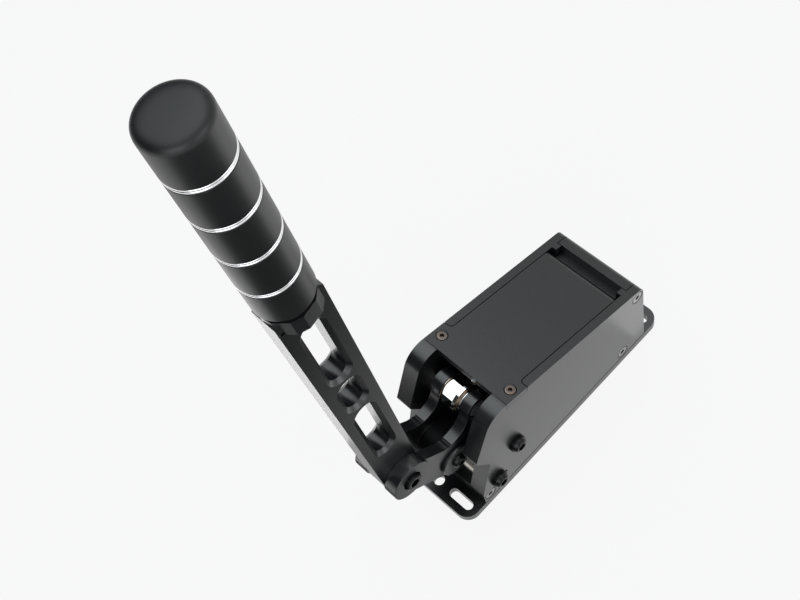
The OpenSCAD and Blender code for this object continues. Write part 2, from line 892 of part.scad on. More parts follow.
// Dog-leg yoke plate on the +Y side.
module yoke_plate() {
    difference() {
        union() {
            difference() {
                union() {
                    plate_y(belt([knuckle, pivot], [neck_r, pivot_lobe_r]), yoke_in, yoke_out);
                    plate_y(belt([clevis, pivot], [clevis_lobe_r, pivot_lobe_r]), yoke_in, yoke_out);
                }
                plate_y(belt([valley, hollow_end], [valley_r, valley_r], 40),
                    yoke_in - 1, yoke_out + 1);
            }
            bar_y(knuckle, knuckle_r, yoke_in, knuckle_out);
        }
        bar_y(pivot, shaft_r + fix_gap, yoke_in - 1, yoke_out + 1);
        bar_y(clevis, clevis_pin_r + fix_gap, yoke_in - 1, yoke_out + 1);
        bar_y(knuckle, knuckle_bolt_r + fix_gap, yoke_in - 1, knuckle_out + 1);
        bar_y(knuckle, counterbore_r, knuckle_out - counterbore_depth, knuckle_out + 1);
    }
}

module yoke_plate_left() {
    color(black) yoke_plate();
}

module yoke_plate_right() {
    color(black) mirror([0, 1, 0]) yoke_plate();
}

module pivot_shaft() {
    color(steel)
        difference() {
            bar_y(pivot, shaft_r, -yoke_out + 0.1, yoke_out - 0.1);
            both_sides() bar_y(pivot, pivot_thread_r + fix_gap, yoke_out - 14, yoke_out);
        }
}

module pivot_washers() {
    color(black)
        both_sides()
            difference() {
                bar_y(pivot, pivot_washer_r, yoke_out, yoke_out + pivot_washer_t);
                bar_y(pivot, pivot_thread_r + 0.3, yoke_out - 1, yoke_out + pivot_washer_t + 1);
            }
}

module pivot_screws() {
    head_r = pivot_thread_r + 2.4;
    color(dark)
        both_sides()
            driven_in_y(pivot, yoke_out + pivot_washer_t)
                difference() {
                    union() {
                        cylinder(r1 = head_r, r2 = head_r - 1.6, h = 3.2);
                        translate([0, 0, -12]) cylinder(r = pivot_thread_r, h = 12 + eps);
                    }
                    translate([0, 0, 1]) hex_bar(4, 4);
                }
}

module knuckle_pin() {
    color(steel)
        difference() {
            bar_y(knuckle, knuckle_pin_r, -yoke_in + 0.05, yoke_in - 0.05);
            bar_y(knuckle, knuckle_bolt_r + fix_gap, -yoke_in - 1, yoke_in + 1);
        }
}

module knuckle_bolts() {
    color(dark)
        both_sides()
            driven_in_y(knuckle, knuckle_out - counterbore_depth)
                difference() {
                    union() {
                        cylinder(r = knuckle_head_r, h = knuckle_head_h);
                        translate([0, 0, -knuckle_out + counterbore_depth + 0.5])
                            cylinder(r = knuckle_bolt_r, h = knuckle_out - counterbore_depth);
                    }
                    translate([0, 0, 1.6]) hex_bar(6, knuckle_head_h);
                }
}

module clevis_pin() {
    color(steel) bar_y(clevis, clevis_pin_r, -yoke_out + 0.1, yoke_out - 0.1);
}

// Ring on the clevis pin, between two values of Y on the +Y side.
module clevis_ring(r, y0, y1) {
    both_sides()
        difference() {
            bar_y(clevis, r, y0, y1);
            bar_y(clevis, clevis_pin_r + fix_gap, 0, half_w);
        }
}

module clevis_washers() {
    color(brass) clevis_ring(rod_end_r - 1.2, clevis_washer_y, clevis_spacer_y);
}

module clevis_spacers() {
    color(chrome) clevis_ring(clevis_pin_r + 2.2, clevis_spacer_y, yoke_in - 0.1);
}

// Width of the arm at a height over the knuckle axis.
function arm_half_w(z) = (arm_w_low + (arm_w_high - arm_w_low) * z / arm_top) / 2;

// Window through the arm with round ends and a chamfer at both faces.
module arm_window(z0, h) {
    r = window_w / 2 - window_chamfer;
    ends = [z0 + window_w / 2, z0 + h - window_w / 2];
    depth = arm_half_t - window_chamfer;
    lip = 1;
    for (z = ends) {
        bar_y([0, z], r, -arm_half_t - lip, arm_half_t + lip);
        both_sides() cone_y([0, z], r, window_w / 2 + lip, depth, arm_half_t + lip);
    }
    translate([0, 0, ends[0]])
        linear_extrude(ends[1] - ends[0])
            polygon(window_section(r, depth, lip));
}

// Cross section of a window: straight inside, opening out at both faces.
function window_section(r, depth, lip) = [
    [-r, -depth],
    [-window_w / 2 - lip, -arm_half_t - lip],
    [window_w / 2 + lip, -arm_half_t - lip],
    [r, -depth],
    [r, depth],
    [window_w / 2 + lip, arm_half_t + lip],
    [-window_w / 2 - lip, arm_half_t + lip],
    [-r, depth]
];

// Arm with three windows, a round foot and a six-sided collar with cut corners.
module arm() {
    chamfer = 3;
    blade_top = arm_top - 0.5;
    top_half = arm_half_w(blade_top);
    outline = concat(
        [for (k = [0:24]) arm_w_low / 2 * polar(-180 + k * 7.5)],
        [[top_half, blade_top - chamfer], [top_half - chamfer, blade_top]],
        [[chamfer - top_half, blade_top], [-top_half, blade_top - chamfer]]
    );
    color(black)
        on_arm()
            difference() {
                union() {
                    plate_y(outline, -arm_half_t, arm_half_t);
                    translate([0, 0, collar_z])
                        rotate(collar_turn)
                            intersection() {
                                hex_bar(collar_af, collar_h);
                                rotate(30) hex_bar(collar_corner_af, collar_h);
                            }
                    translate([0, 0, arm_top - 1])
                        cylinder(r = grip_r - 3, h = grip_groove + 1);
                }
                bar_y([0, 0], knuckle_pin_r + run_gap, -half_w, half_w);
                arm_window(window_foot, window_long);
                arm_window(window_mid_foot, window_short);
                arm_window(window_high_foot, window_long);
                translate([0, 0, rod_foot]) cylinder(r = rod_core_r + fix_gap, h = 40);
                lock_screw_place() translate([0, 0, -1]) cylinder(r = lock_screw_r + fix_gap, h = 20);
            }
}

// Place of the grub screw that locks the grip's rod in the collar.
module lock_screw_place() {
    translate([0, 0, collar_z + lock_screw_r + 0.6])
        rotate([0, 0, -150])
            rotate([0, 90, 0])
                translate([0, 0, rod_core_r])
                    children();
}

module grip_lock_screw() {
    color(dark)
        on_arm()
            lock_screw_place()
                difference() {
                    translate([0, 0, 0.1])
                        cylinder(r = lock_screw_r, h = collar_af / 2 - rod_core_r - 0.9);
                    translate([0, 0, collar_af / 2 - rod_core_r - 2]) hex_bar(lock_screw_r, 3);
                }
}

module grip_rod() {
    color(steel)
        on_arm()
            translate([0, 0, rod_foot + 0.2])
                cylinder(r = rod_core_r, h = grip_top - cap_wall - 0.4 - rod_foot);
}

// Sleeve or ring of the grip between two heights.
module grip_tube(z0, z1) {
    difference() {
        translate([0, 0, z0]) cylinder(r = grip_r, h = z1 - z0);
        translate([0, 0, z0 - 1]) cylinder(r = rod_core_r + fix_gap, h = z1 - z0 + 2);
    }
}

// Black sleeve number i, counted from the collar.
module grip_sleeve(i) {
    z0 = i == 1 ? grip_z : ring_z(i - 1) + ring_w / 2;
    color(dark) on_arm() grip_tube(z0, ring_z(i) - ring_w / 2);
}

// Bright ring number i, with a groove turned in it.
module grip_ring(i) {
    w = ring_w / 2;
    profile = [
        [rod_core_r + fix_gap, -w],
        [grip_r, -w],
        [grip_r - ring_groove, 0],
        [grip_r, w],
        [rod_core_r + fix_gap, w]
    ];
    color(chrome)
        on_arm()
            translate([0, 0, ring_z(i)])
                rotate_extrude() polygon(profile);
}

// Closed end of the grip.
module grip_cap() {
    z0 = ring_z(ring_count) + ring_w / 2;
    h = grip_top - z0;
    edge = [for (k = [0:12]) [grip_r - cap_edge_r, h - cap_edge_r] + cap_edge_r * polar(k * 7.5)];
    color(dark)
        on_arm()
            translate([0, 0, z0])
                difference() {
                    rotate_extrude() polygon(concat([[0, 0], [grip_r, 0]], edge, [[0, h]]));
                    translate([0, 0, -1])
                        cylinder(r = rod_core_r + fix_gap, h = h - cap_wall + 1);
                }
}

// Cylinder with its bore and the eye at its rear end.
module cylinder_body() {
    color(steel)
        on_cylinder()
            difference() {
                union() {
                    bar_x(cyl_r, cyl_start, cyl_end);
                    bar_x(trunnion_eye_half, cyl_end - 1, cyl_span);
                    bar_y([cyl_span, 0], trunnion_eye_r, -trunnion_eye_half, trunnion_eye_half);
                }
                bar_x(cyl_bore_r, cyl_start - 1, bore_end);
                bar_y([cyl_span, 0], trunnion_pin_r + run_gap, -half_w, half_w);
                sensor_place() cylinder(r = sensor_af / sqrt(3) + 0.3, h = 10);
                sensor_place() translate([0, 0, -6]) cylinder(r = sensor_stub_r + fix_gap, h = 7);
            }
}

module gland_nut() {
    color(brass)
        on_cylinder()
            difference() {
                union() {
                    bar_x(cyl_bore_r - fix_gap, cyl_start - 1, cyl_start + 6);
                    bar_x(cyl_r - 1, cyl_start - gland_flange_t, cyl_start);
                }
                bar_x(push_rod_r + run_gap, cyl_start - gland_flange_t - 1, cyl_start + 7);
            }
}

module bump_stop() {
    color(dark)
        on_cylinder()
            difference() {
                bar_x(cyl_bore_r - 0.3, bump_start, bore_end);
                bar_x(3, bump_start - 1, bore_end + 1);
            }
}

// Closed sleeve in the place of the spring between piston and bump stop.
module return_spring() {
    color(steel)
        on_cylinder()
            difference() {
                bar_x(cyl_bore_r - 0.5, piston_end + spring_gap, bump_start - spring_gap);
                bar_x(cyl_bore_r - 3, piston_end, bump_start);
            }
}

// Flat on the upper side of the cylinder, near its rear end, where the sensor is screwed in.
module sensor_place() {
    translate([bore_end - sensor_af / 2 - 1, 0, cyl_r - 1.3]) children();
}

module pressure_sensor() {
    color(brass)
        on_cylinder()
            sensor_place() {
                hex_bar(sensor_af, 6.5);
                translate([0, 0, 6]) cylinder(r = sensor_af / 2 - 1.5, h = 9);
                translate([0, 0, -2]) cylinder(r = sensor_stub_r, h = 3);
            }
}

// Rod end: a six-sided cross piece with a flange, bored for the clevis pin, and a socket for the rod.
module rod_end() {
    flange_y = rod_flange_t - rod_end_half;
    hex_len = rod_end_half - flange_y;
    chamfer = 1.8;
    color(chrome)
        on_cylinder()
            difference() {
                union() {
                    translate([0, rod_end_half, 0])
                        rotate([90, 0, 0])
                            intersection() {
                                rotate(18 + cyl_tilt) hex_bar(rod_end_af, hex_len);
                                union() {
                                    cylinder(r1 = rod_end_af / 2 - 0.1, r2 = rod_end_r + 0.3, h = chamfer);
                                    translate([0, 0, chamfer - eps])
                                        cylinder(r = rod_end_r + 0.3, h = hex_len);
                                }
                            }
                    bar_y([0, 0], rod_end_r + 0.1, -rod_end_half, flange_y + eps);
                    bar_x(rod_end_half - 0.2, clevis_pin_r, rod_socket_to - 1);
                    bar_x(rod_socket_r, rod_socket_from, rod_socket_to);
                }
                bar_y([0, 0], eye_bore_r, -half_w, half_w);
                bar_x(push_rod_r + fix_gap, rod_socket_from, rod_socket_to + 1);
            }
}

module push_rod() {
    color(dark) on_cylinder() bar_x(push_rod_r, rod_socket_from + 0.1, rod_end);
}

module rod_lock_nut() {
    color(chrome)
        on_cylinder()
            translate([lock_nut_at, 0, 0])
                rotate([0, 90, 0])
                    difference() {
                        hex_bar(2.9 * push_rod_r, lock_nut_t);
                        translate([0, 0, -1]) cylinder(r = push_rod_r + fix_gap, h = lock_nut_t + 2);
                    }
}

module piston() {
    color(steel)
        on_cylinder()
            difference() {
                bar_x(cyl_bore_r - run_gap, piston_start, piston_end);
                bar_x(push_rod_r + fix_gap, piston_start - 1, rod_end + fix_gap);
                difference() {
                    bar_x(cyl_bore_r + 1, piston_start + 6, piston_start + 8);
                    bar_x(cyl_bore_r - 1.5, piston_start + 5, piston_start + 9);
                }
            }
}

module piston_seal() {
    color(dark)
        on_cylinder()
            difference() {
                bar_x(cyl_bore_r - run_gap, piston_start + 6.1, piston_start + 7.9);
                bar_x(cyl_bore_r - 1.4, piston_start + 5, piston_start + 9);
            }
}

base_plate();
side_plate_left();
side_plate_right();
lid();
lid_screws();
side_screws();
rear_cap();
rear_panel();
front_bar();
rear_bar();
base_screws();
pivot_block();
pivot_bushes();
upper_frame_bolts();
lower_frame_bolts();
upper_spacers();
lower_spacers();
lower_washers();
dowel_pins();
rear_bracket();
cylinder_pin();
sensor_board();
board_standoffs();
usb_socket();
data_socket();
yoke_plate_left();
yoke_plate_right();
pivot_shaft();
pivot_washers();
pivot_screws();
knuckle_pin();
knuckle_bolts();
clevis_pin();
clevis_washers();
clevis_spacers();
arm();
grip_rod();
grip_lock_screw();
grip_cap();
grip_sleeve(1);  // grip_sleeve_1
grip_sleeve(2);  // grip_sleeve_2
grip_sleeve(3);  // grip_sleeve_3
grip_sleeve(4);  // grip_sleeve_4
grip_ring(1);  // grip_ring_1
grip_ring(2);  // grip_ring_2
grip_ring(3);  // grip_ring_3
grip_ring(4);  // grip_ring_4
cylinder_body();
gland_nut();
bump_stop();
return_spring();
pressure_sensor();
rod_end();
push_rod();
rod_lock_nut();
piston();
piston_seal();
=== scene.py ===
"""Looks of a sim racing handbrake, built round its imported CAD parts.

The frame is the parts' own: +X runs from the lever to the closed rear of the housing, +Z is up,
and the origin is the centre of the base plate's underside. Sizes in the classes are millimetres,
and meshes are metres.
"""

import logging
import math
from dataclasses import dataclass
from enum import Enum
from functools import partial

import bmesh
import bpy
from mathutils import Matrix, Vector


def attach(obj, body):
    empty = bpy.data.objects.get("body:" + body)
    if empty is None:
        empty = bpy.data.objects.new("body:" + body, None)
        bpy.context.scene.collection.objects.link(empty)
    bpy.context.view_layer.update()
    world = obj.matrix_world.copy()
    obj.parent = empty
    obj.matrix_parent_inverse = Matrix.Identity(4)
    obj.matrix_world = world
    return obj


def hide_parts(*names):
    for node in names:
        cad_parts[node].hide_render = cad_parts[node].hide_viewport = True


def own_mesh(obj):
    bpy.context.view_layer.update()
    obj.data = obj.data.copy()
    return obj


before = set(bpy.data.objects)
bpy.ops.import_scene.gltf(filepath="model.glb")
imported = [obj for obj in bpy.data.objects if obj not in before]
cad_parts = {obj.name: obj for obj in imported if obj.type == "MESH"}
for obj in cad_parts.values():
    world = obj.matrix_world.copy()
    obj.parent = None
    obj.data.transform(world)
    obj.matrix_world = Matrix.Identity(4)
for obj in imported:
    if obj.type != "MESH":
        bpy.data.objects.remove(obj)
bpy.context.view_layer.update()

MM = 0.001
LOG = logging.getLogger("handbrake")

# Points closer than this are one point, in millimetres
MERGE_DISTANCE = 0.003
# Faces that meet at less than this are one flat face, in degrees
FLAT_ANGLE = 0.2
# Edges that turn by more than this are broken, in degrees
BROKEN_ANGLE = 28.0
# Edges that turn by more than this stay sharp when the faces are shaded, in degrees
SHARP_ANGLE = 50.0
# The part of a noise's values that a pattern spreads over its whole range
NOISE_SPAN = (0.3, 0.7)
# Half width of the housing over its side plates
HALF_WIDTH = 35.0
# Axis on which the arm meets the yoke, in X and Z
KNUCKLE = (-112.8, 86.9)


class Body(Enum):
    """Bodies of the handbrake that pieces ride on."""

    HOUSING = "housing"
    YOKE = "yoke"
    HANDLE = "handle"
    CYLINDER = "cylinder"
    PLUNGER = "plunger"


def add_node(tree: bpy.types.NodeTree, kind: str, **inputs: object) -> bpy.types.Node:
    """Adds a node to a tree.

    Args:
        tree: Tree that it goes into.
        kind: Blender's name of the node type.
        **inputs: Values for the node's inputs, with underscores for spaces.

    Returns:
        The new node.
    """
    node = tree.nodes.new(kind)
    for name, value in inputs.items():
        node.inputs[name.replace("_", " ")].default_value = value
    return node


def any_ray(tree: bpy.types.NodeTree, *kinds: str) -> bpy.types.NodeSocket:
    """Tells some kinds of rays from the others.

    Args:
        tree: Tree that the nodes go into.
        *kinds: Outputs of the light path that are 1 for these kinds.

    Returns:
        1 for rays of these kinds, otherwise 0.
    """
    path = add_node(tree, "ShaderNodeLightPath")
    total = path.outputs[kinds[0]]
    for kind in kinds[1:]:
        larger = add_node(tree, "ShaderNodeMath")
        larger.operation = "MAXIMUM"
        tree.links.new(total, larger.inputs[0])
        tree.links.new(path.outputs[kind], larger.inputs[1])
        total = larger.outputs[0]
    return total


def geometry_tree(name: str, kinds: dict) -> tuple:
    """Starts a Geometry Nodes tree with named inputs.

    Args:
        name: Name of the tree.
        kinds: Type of each input by its name.

    Returns:
        The tree, and the identifiers of its inputs by name.
    """
    tree = bpy.data.node_groups.new(name, "GeometryNodeTree")
    face = tree.interface
    keys = {
        label: face.new_socket(label, in_out="INPUT", socket_type="NodeSocket" + kind).identifier
        for label, kind in kinds.items()
    }
    face.new_socket("Geometry", in_out="OUTPUT", socket_type="NodeSocketGeometry")
    return tree, keys


class Shading:
    """The shader nodes of one material, on the piece's own coordinates."""

    def __init__(self, name: str) -> None:
        """Starts a material with a principled shader.

        Args:
            name: Name of the material.
        """
        self.material = bpy.data.materials.new(name)
        self.material.use_nodes = True
        self.tree = self.material.node_tree
        self.shader = self.tree.nodes["Principled BSDF"]
        self.add = partial(add_node, self.tree)
        self.link = self.tree.links.new
        self.place = self.add("ShaderNodeTexCoord").outputs["Object"]

    def noise(self, size: float, detail: float, stretch: tuple) -> bpy.types.NodeSocket:
        """Adds a noise pattern.

        Args:
            size: Size of the pattern's patches in millimetres.
            detail: Octaves of finer noise.
            stretch: Scale of the coordinates along each axis.

        Returns:
            The pattern's value, from 0 to 1.
        """
        mapping = self.add("ShaderNodeMapping", Scale=stretch)
        texture = self.add("ShaderNodeTexNoise", Scale=1 / (size * MM), Detail=detail)
        self.link(self.place, mapping.inputs["Vector"])
        self.link(mapping.outputs["Vector"], texture.inputs["Vector"])
        return texture.outputs["Fac"]

    def roughness(self, value: bpy.types.NodeSocket, limits: tuple) -> None:
        """Lets the roughness follow a pattern.

        Args:
            value: Pattern from 0 to 1.
            limits: Lowest and highest roughness.
        """
        node = self.add("ShaderNodeMapRange", From_Min=NOISE_SPAN[0], From_Max=NOISE_SPAN[1])
        node.inputs["To Min"].default_value, node.inputs["To Max"].default_value = limits
        self.link(value, node.inputs["Value"])
        self.link(node.outputs["Result"], self.shader.inputs["Roughness"])

    def tint(self, value: bpy.types.NodeSocket, colours: tuple) -> None:
        """Colours the surface between two colours.

        Args:
            value: Pattern from 0 to 1.
            colours: The colours where the pattern is darkest and brightest.
        """
        ramp = self.add("ShaderNodeValToRGB")
        for stop, position, colour in zip(ramp.color_ramp.elements, NOISE_SPAN, colours):
            stop.position = position
            stop.color = (*colour, 1.0)
        self.link(value, ramp.inputs["Fac"])
        self.link(ramp.outputs["Color"], self.shader.inputs["Base Color"])

    def relief(self, height: bpy.types.NodeSocket, depth: float) -> None:
        """Adds fine relief.

        Args:
            height: Pattern from 0 to 1.
            depth: Depth of the relief in millimetres.
        """
        node = self.add("ShaderNodeBump", Strength=0.5, Distance=depth * MM)
        self.link(height, node.inputs["Height"])
        self.link(node.outputs["Normal"], self.shader.inputs["Normal"])


@dataclass(frozen=True)
class Finish:
    """A surface finish with faint patches of tone, a fine grain and an uneven gloss.

    Attributes:
        name: Name of the finish.
        slot: Material slot of the record that the finish belongs to; not used.
        colour: Middle colour, linear.
        metallic: 1 for bare metal, 0 for other surfaces, and between them for dull nickel.
        gloss: Lowest and highest roughness.
        grain: Size of the grain.
        depth: Depth of the grain.
        tone: Share by which the colour varies.
        stretch: Scale of the grain along each axis, uneven for turned metal.
        ior: Index of refraction of the surface.
        patch: Size of the patches of tone.
    """

    name: str
    slot: str
    colour: tuple
    metallic: float
    gloss: tuple
    grain: float = 0.5
    depth: float = 0.01
    tone: float = 0.1
    stretch: tuple = (1.0, 1.0, 1.0)
    ior: float = 1.5
    patch: float = 30.0

    def material(self) -> bpy.types.Material:
        """Makes the finish's material on its first use.

        Returns:
            The material, the same one each time.
        """
        known = bpy.data.materials.get(self.name)
        if known:
            return known
        shading = Shading(self.name)
        shading.shader.inputs["Metallic"].default_value = self.metallic
        shading.shader.inputs["IOR"].default_value = self.ior
        patches = shading.noise(self.patch, detail=2.0, stretch=(1.0, 1.0, 1.0))
        grain = shading.noise(self.grain, detail=3.0, stretch=self.stretch)
        darker = tuple(part * (1 - self.tone) for part in self.colour)
        lighter = tuple(part * (1 + self.tone) for part in self.colour)
        shading.tint(patches, (darker, lighter))
        shading.roughness(grain, self.gloss)
        shading.relief(grain, self.depth)
        return shading.material


# Grain drawn out along the lines that turning leaves on an upright piece
TURNED = (0.05, 0.05, 1.0)
ANODISED = Finish(
    "satin_anodised", "black_anodised", (0.0058, 0.0065, 0.0074), 0.0, (0.27, 0.33),
    grain=0.3, depth=0.006, ior=1.75,
)
# Darker, duller copy of the black anodising for the base plate: painted shade where the yoke and arm
# keep light off it.
BASE_SHADED_ANODISED = Finish(
    "base_anodised", "black_anodised", (0.0018, 0.002, 0.0024), 0.0, (0.22, 0.28),
    grain=0.3, depth=0.006, ior=1.58,
)
# Darker copy of the black anodising with little gloss, for the pivot block: painted shade of the
# housing's dark inside.
BLOCK_SHADED_ANODISED = Finish(
    "block_black", "black_anodised", (0.004, 0.004, 0.0045), 0.0, (0.5, 0.6), depth=0.01, ior=1.18
)
GRIP = Finish(
    "grip_satin", "grip_black", (0.0075, 0.0078, 0.0084), 0.0, (0.36, 0.42), grain=0.35, depth=0.004
)
RING = Finish(
    "turned_ring", "ring_silver", (0.95, 0.95, 0.96), 1.0, (0.14, 0.22),
    depth=0.003, tone=0.02, stretch=TURNED,
)
CHROME = Finish(
    "bright_chrome", "chrome_plate", (0.97, 0.96, 0.95), 1.0, (0.05, 0.1),
    grain=2.0, depth=0.004, tone=0.01,
)
OXIDE = Finish(
    "black_oxide", "black_steel", (0.004, 0.004, 0.0045), 0.0, (0.2, 0.28), depth=0.006, ior=1.36
)
SCREW = Finish("side_screw_steel", "screw_steel", (0.24, 0.24, 0.24), 1.0, (0.26, 0.36), depth=0.006)
BRONZE = Finish("bronze_screw", "screw_bronze", (0.2, 0.165, 0.145), 1.0, (0.26, 0.36), depth=0.006)
STEEL = Finish("bare_steel", "bare_steel", (0.5, 0.5, 0.51), 1.0, (0.2, 0.3), depth=0.004)
ALUMINIUM = Finish(
    "bright_aluminium", "bright_aluminium", (0.72, 0.73, 0.74), 1.0, (0.2, 0.3), depth=0.005
)
NICKEL = Finish(
    "pale_nickel", "pale_nickel", (0.88, 0.83, 0.71), 0.45, (0.2, 0.3), depth=0.004, tone=0.03
)
BRASS = Finish("brass", "brass_bronze", (0.82, 0.7, 0.46), 1.0, (0.16, 0.26), depth=0.004)
WASHER_BRONZE = Finish(
    "washer_bronze", "brass_bronze", (0.2, 0.15, 0.11), 1.0, (0.2, 0.3), depth=0.004
)
RUBBER = Finish("rubber", "rubber_black", (0.02, 0.02, 0.02), 0.0, (0.6, 0.75), depth=0.02)
BOARD = Finish("board_green", "board_green", (0.01, 0.07, 0.03), 0.0, (0.25, 0.35), grain=1.0)
MOULDED = Finish("moulded_black", "moulded_black", (0.012, 0.012, 0.013), 0.0, (0.36, 0.46))


def linked(name: str, mesh: bpy.types.Mesh) -> bpy.types.Object:
    """Puts a mesh into the scene as an object at the origin.

    Args:
        name: Name of the object.
        mesh: Its mesh.

    Returns:
        The new object.
    """
    piece = bpy.data.objects.new(name, mesh)
    bpy.context.scene.collection.objects.link(piece)
    return piece


def settle(piece: bpy.types.Object, body: Body, finish: Finish, node: str) -> None:
    """Dresses a finished piece and hands it to its body.

    Args:
        piece: Piece whose place is in its mesh.
        body: Body that it rides on.
        finish: Finish that covers it.
        node: CAD node that it stands for.
    """
    piece.data.materials.clear()
    piece.data.materials.append(finish.material())
    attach(piece, body.value)
    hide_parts(node)
    LOG.info("%s: %d faces on %s", piece.name, len(piece.data.polygons), body.value)


def applied(piece: bpy.types.Object) -> bpy.types.Mesh:
    """Returns a new mesh of the piece with its modifiers applied."""
    graph = bpy.context.evaluated_depsgraph_get()
    return bpy.data.meshes.new_from_object(piece.evaluated_get(graph))


def smooth_flats(piece: bpy.types.Object) -> None:
    """Shades a piece so that flats stay flat and broken edges turn softly.

    Args:
        piece: Piece in the scene.
    """
    piece.data.shade_smooth()
    piece.data.set_sharp_from_angle(angle=math.radians(SHARP_ANGLE))
    modifier = piece.modifiers.new("normals", "WEIGHTED_NORMAL")
    modifier.keep_sharp = True
    mesh = applied(piece)
    piece.modifiers.clear()
    piece.data = mesh


@dataclass(frozen=True)
class Trimmed:
    """A CAD node whose sharp edges are broken, as a deburred part has them.

    Attributes:
        node: Name of the CAD node.
        width: Width of the broken edges.
        finish: Finish that covers it.
        seam: How far each face steps back, to show the line where two plates meet.
    """

    node: str
    width: float
    finish: Finish
    seam: float = 0.0

    def fit(self, body: Body) -> None:
        """Copies the node, breaks its edges and hands the copy to its body.

        Args:
            body: Body that it rides on.
        """
        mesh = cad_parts[self.node].data.copy()
        shape = bmesh.new()
        shape.from_mesh(mesh)
        bmesh.ops.remove_doubles(shape, verts=shape.verts, dist=MERGE_DISTANCE * MM)
        bmesh.ops.dissolve_degenerate(shape, dist=MERGE_DISTANCE * MM, edges=shape.edges)
        bmesh.ops.dissolve_limit(
            shape, angle_limit=math.radians(FLAT_ANGLE), verts=shape.verts, edges=shape.edges
        )
        shape.normal_update()
        steps = [vert.normal * vert.calc_shell_factor() * self.seam * MM for vert in shape.verts]
        for vert, step in zip(shape.verts, steps):
            vert.co -= step
        sharp = [
            edge for edge in shape.edges
            if edge.is_manifold and edge.calc_face_angle(0.0) > math.radians(BROKEN_ANGLE)
        ]
        bmesh.ops.bevel(
            shape, geom=sharp, offset=self.width * MM, offset_type="OFFSET", segments=2,
            profile=0.5, affect="EDGES", clamp_overlap=True,
        )
        shape.to_mesh(mesh)
        shape.free()
        piece = linked(self.node + "_dressed", mesh)
        smooth_flats(piece)
        settle(piece, body, self.finish, self.node)


@dataclass(frozen=True)
class Ring:
    """One ring of a turned shape.

    Attributes:
        radius: Radius, or half the width across the flats of a six-sided ring.
        height: Height along the axis.
        six_sided: Whether the ring is a hexagon, as a key's socket is.
    """

    radius: float
    height: float
    six_sided: bool = False

    def point(self, turn: float) -> Vector:
        """Gives the ring's point at an angle.

        Args:
            turn: Angle in radians.

        Returns:
            The point in metres.
        """
        reach = self.radius
        if self.six_sided:
            reach /= math.cos((turn + math.pi / 6) % (math.pi / 3) - math.pi / 6)
        return Vector((reach * math.cos(turn), reach * math.sin(turn), self.height)) * MM


def turned(name: str, rings: list, closed: bool = False, steps: int = 48) -> bpy.types.Object:
    """Joins rings round the Z axis into a turned shape.

    Args:
        name: Name of the object.
        rings: Rings from the bottom up, then inwards. A ring of radius 0 closes an end.
        closed: Whether the last ring joins the first, as in a tube.
        steps: Points round each ring.

    Returns:
        The shape, in the scene.
    """
    shape = bmesh.new()
    loops = []
    for ring in rings:
        if ring.radius == 0:
            loops.append([shape.verts.new(ring.point(0))] * steps)
        else:
            loops.append([shape.verts.new(ring.point(math.tau * i / steps)) for i in range(steps)])
    pairs = list(zip(loops, loops[1:]))
    if closed:
        pairs.append((loops[-1], loops[0]))
    for low, high in pairs:
        for i in range(steps):
            j = (i + 1) % steps
            corners = dict.fromkeys((low[i], low[j], high[j], high[i]))
            shape.faces.new(list(corners))
    bmesh.ops.recalc_face_normals(shape, faces=shape.faces)
    mesh = bpy.data.meshes.new(name)
    shape.to_mesh(mesh)
    shape.free()
    piece = linked(name, mesh)
    smooth_flats(piece)
    return piece


@dataclass(frozen=True)
class Spot:
    """Where a repeated piece goes.

    Attributes:
        at: Its place.
        direction: Where its Z axis points, out of the surface.
    """

    at: tuple
    direction: tuple


def both_sides(places: tuple, reach: float) -> list:
    """Mirrors points in X and Z onto two outer faces.

    Args:
        places: Points in X and Z.
        reach: Distance of each face from the middle.

    Returns:
        A spot on each face for each point, headed outwards.
    """
    return [
        Spot((x, side * reach, z), (0.0, side, 0.0)) for x, z in places for side in (-1.0, 1.0)
    ]


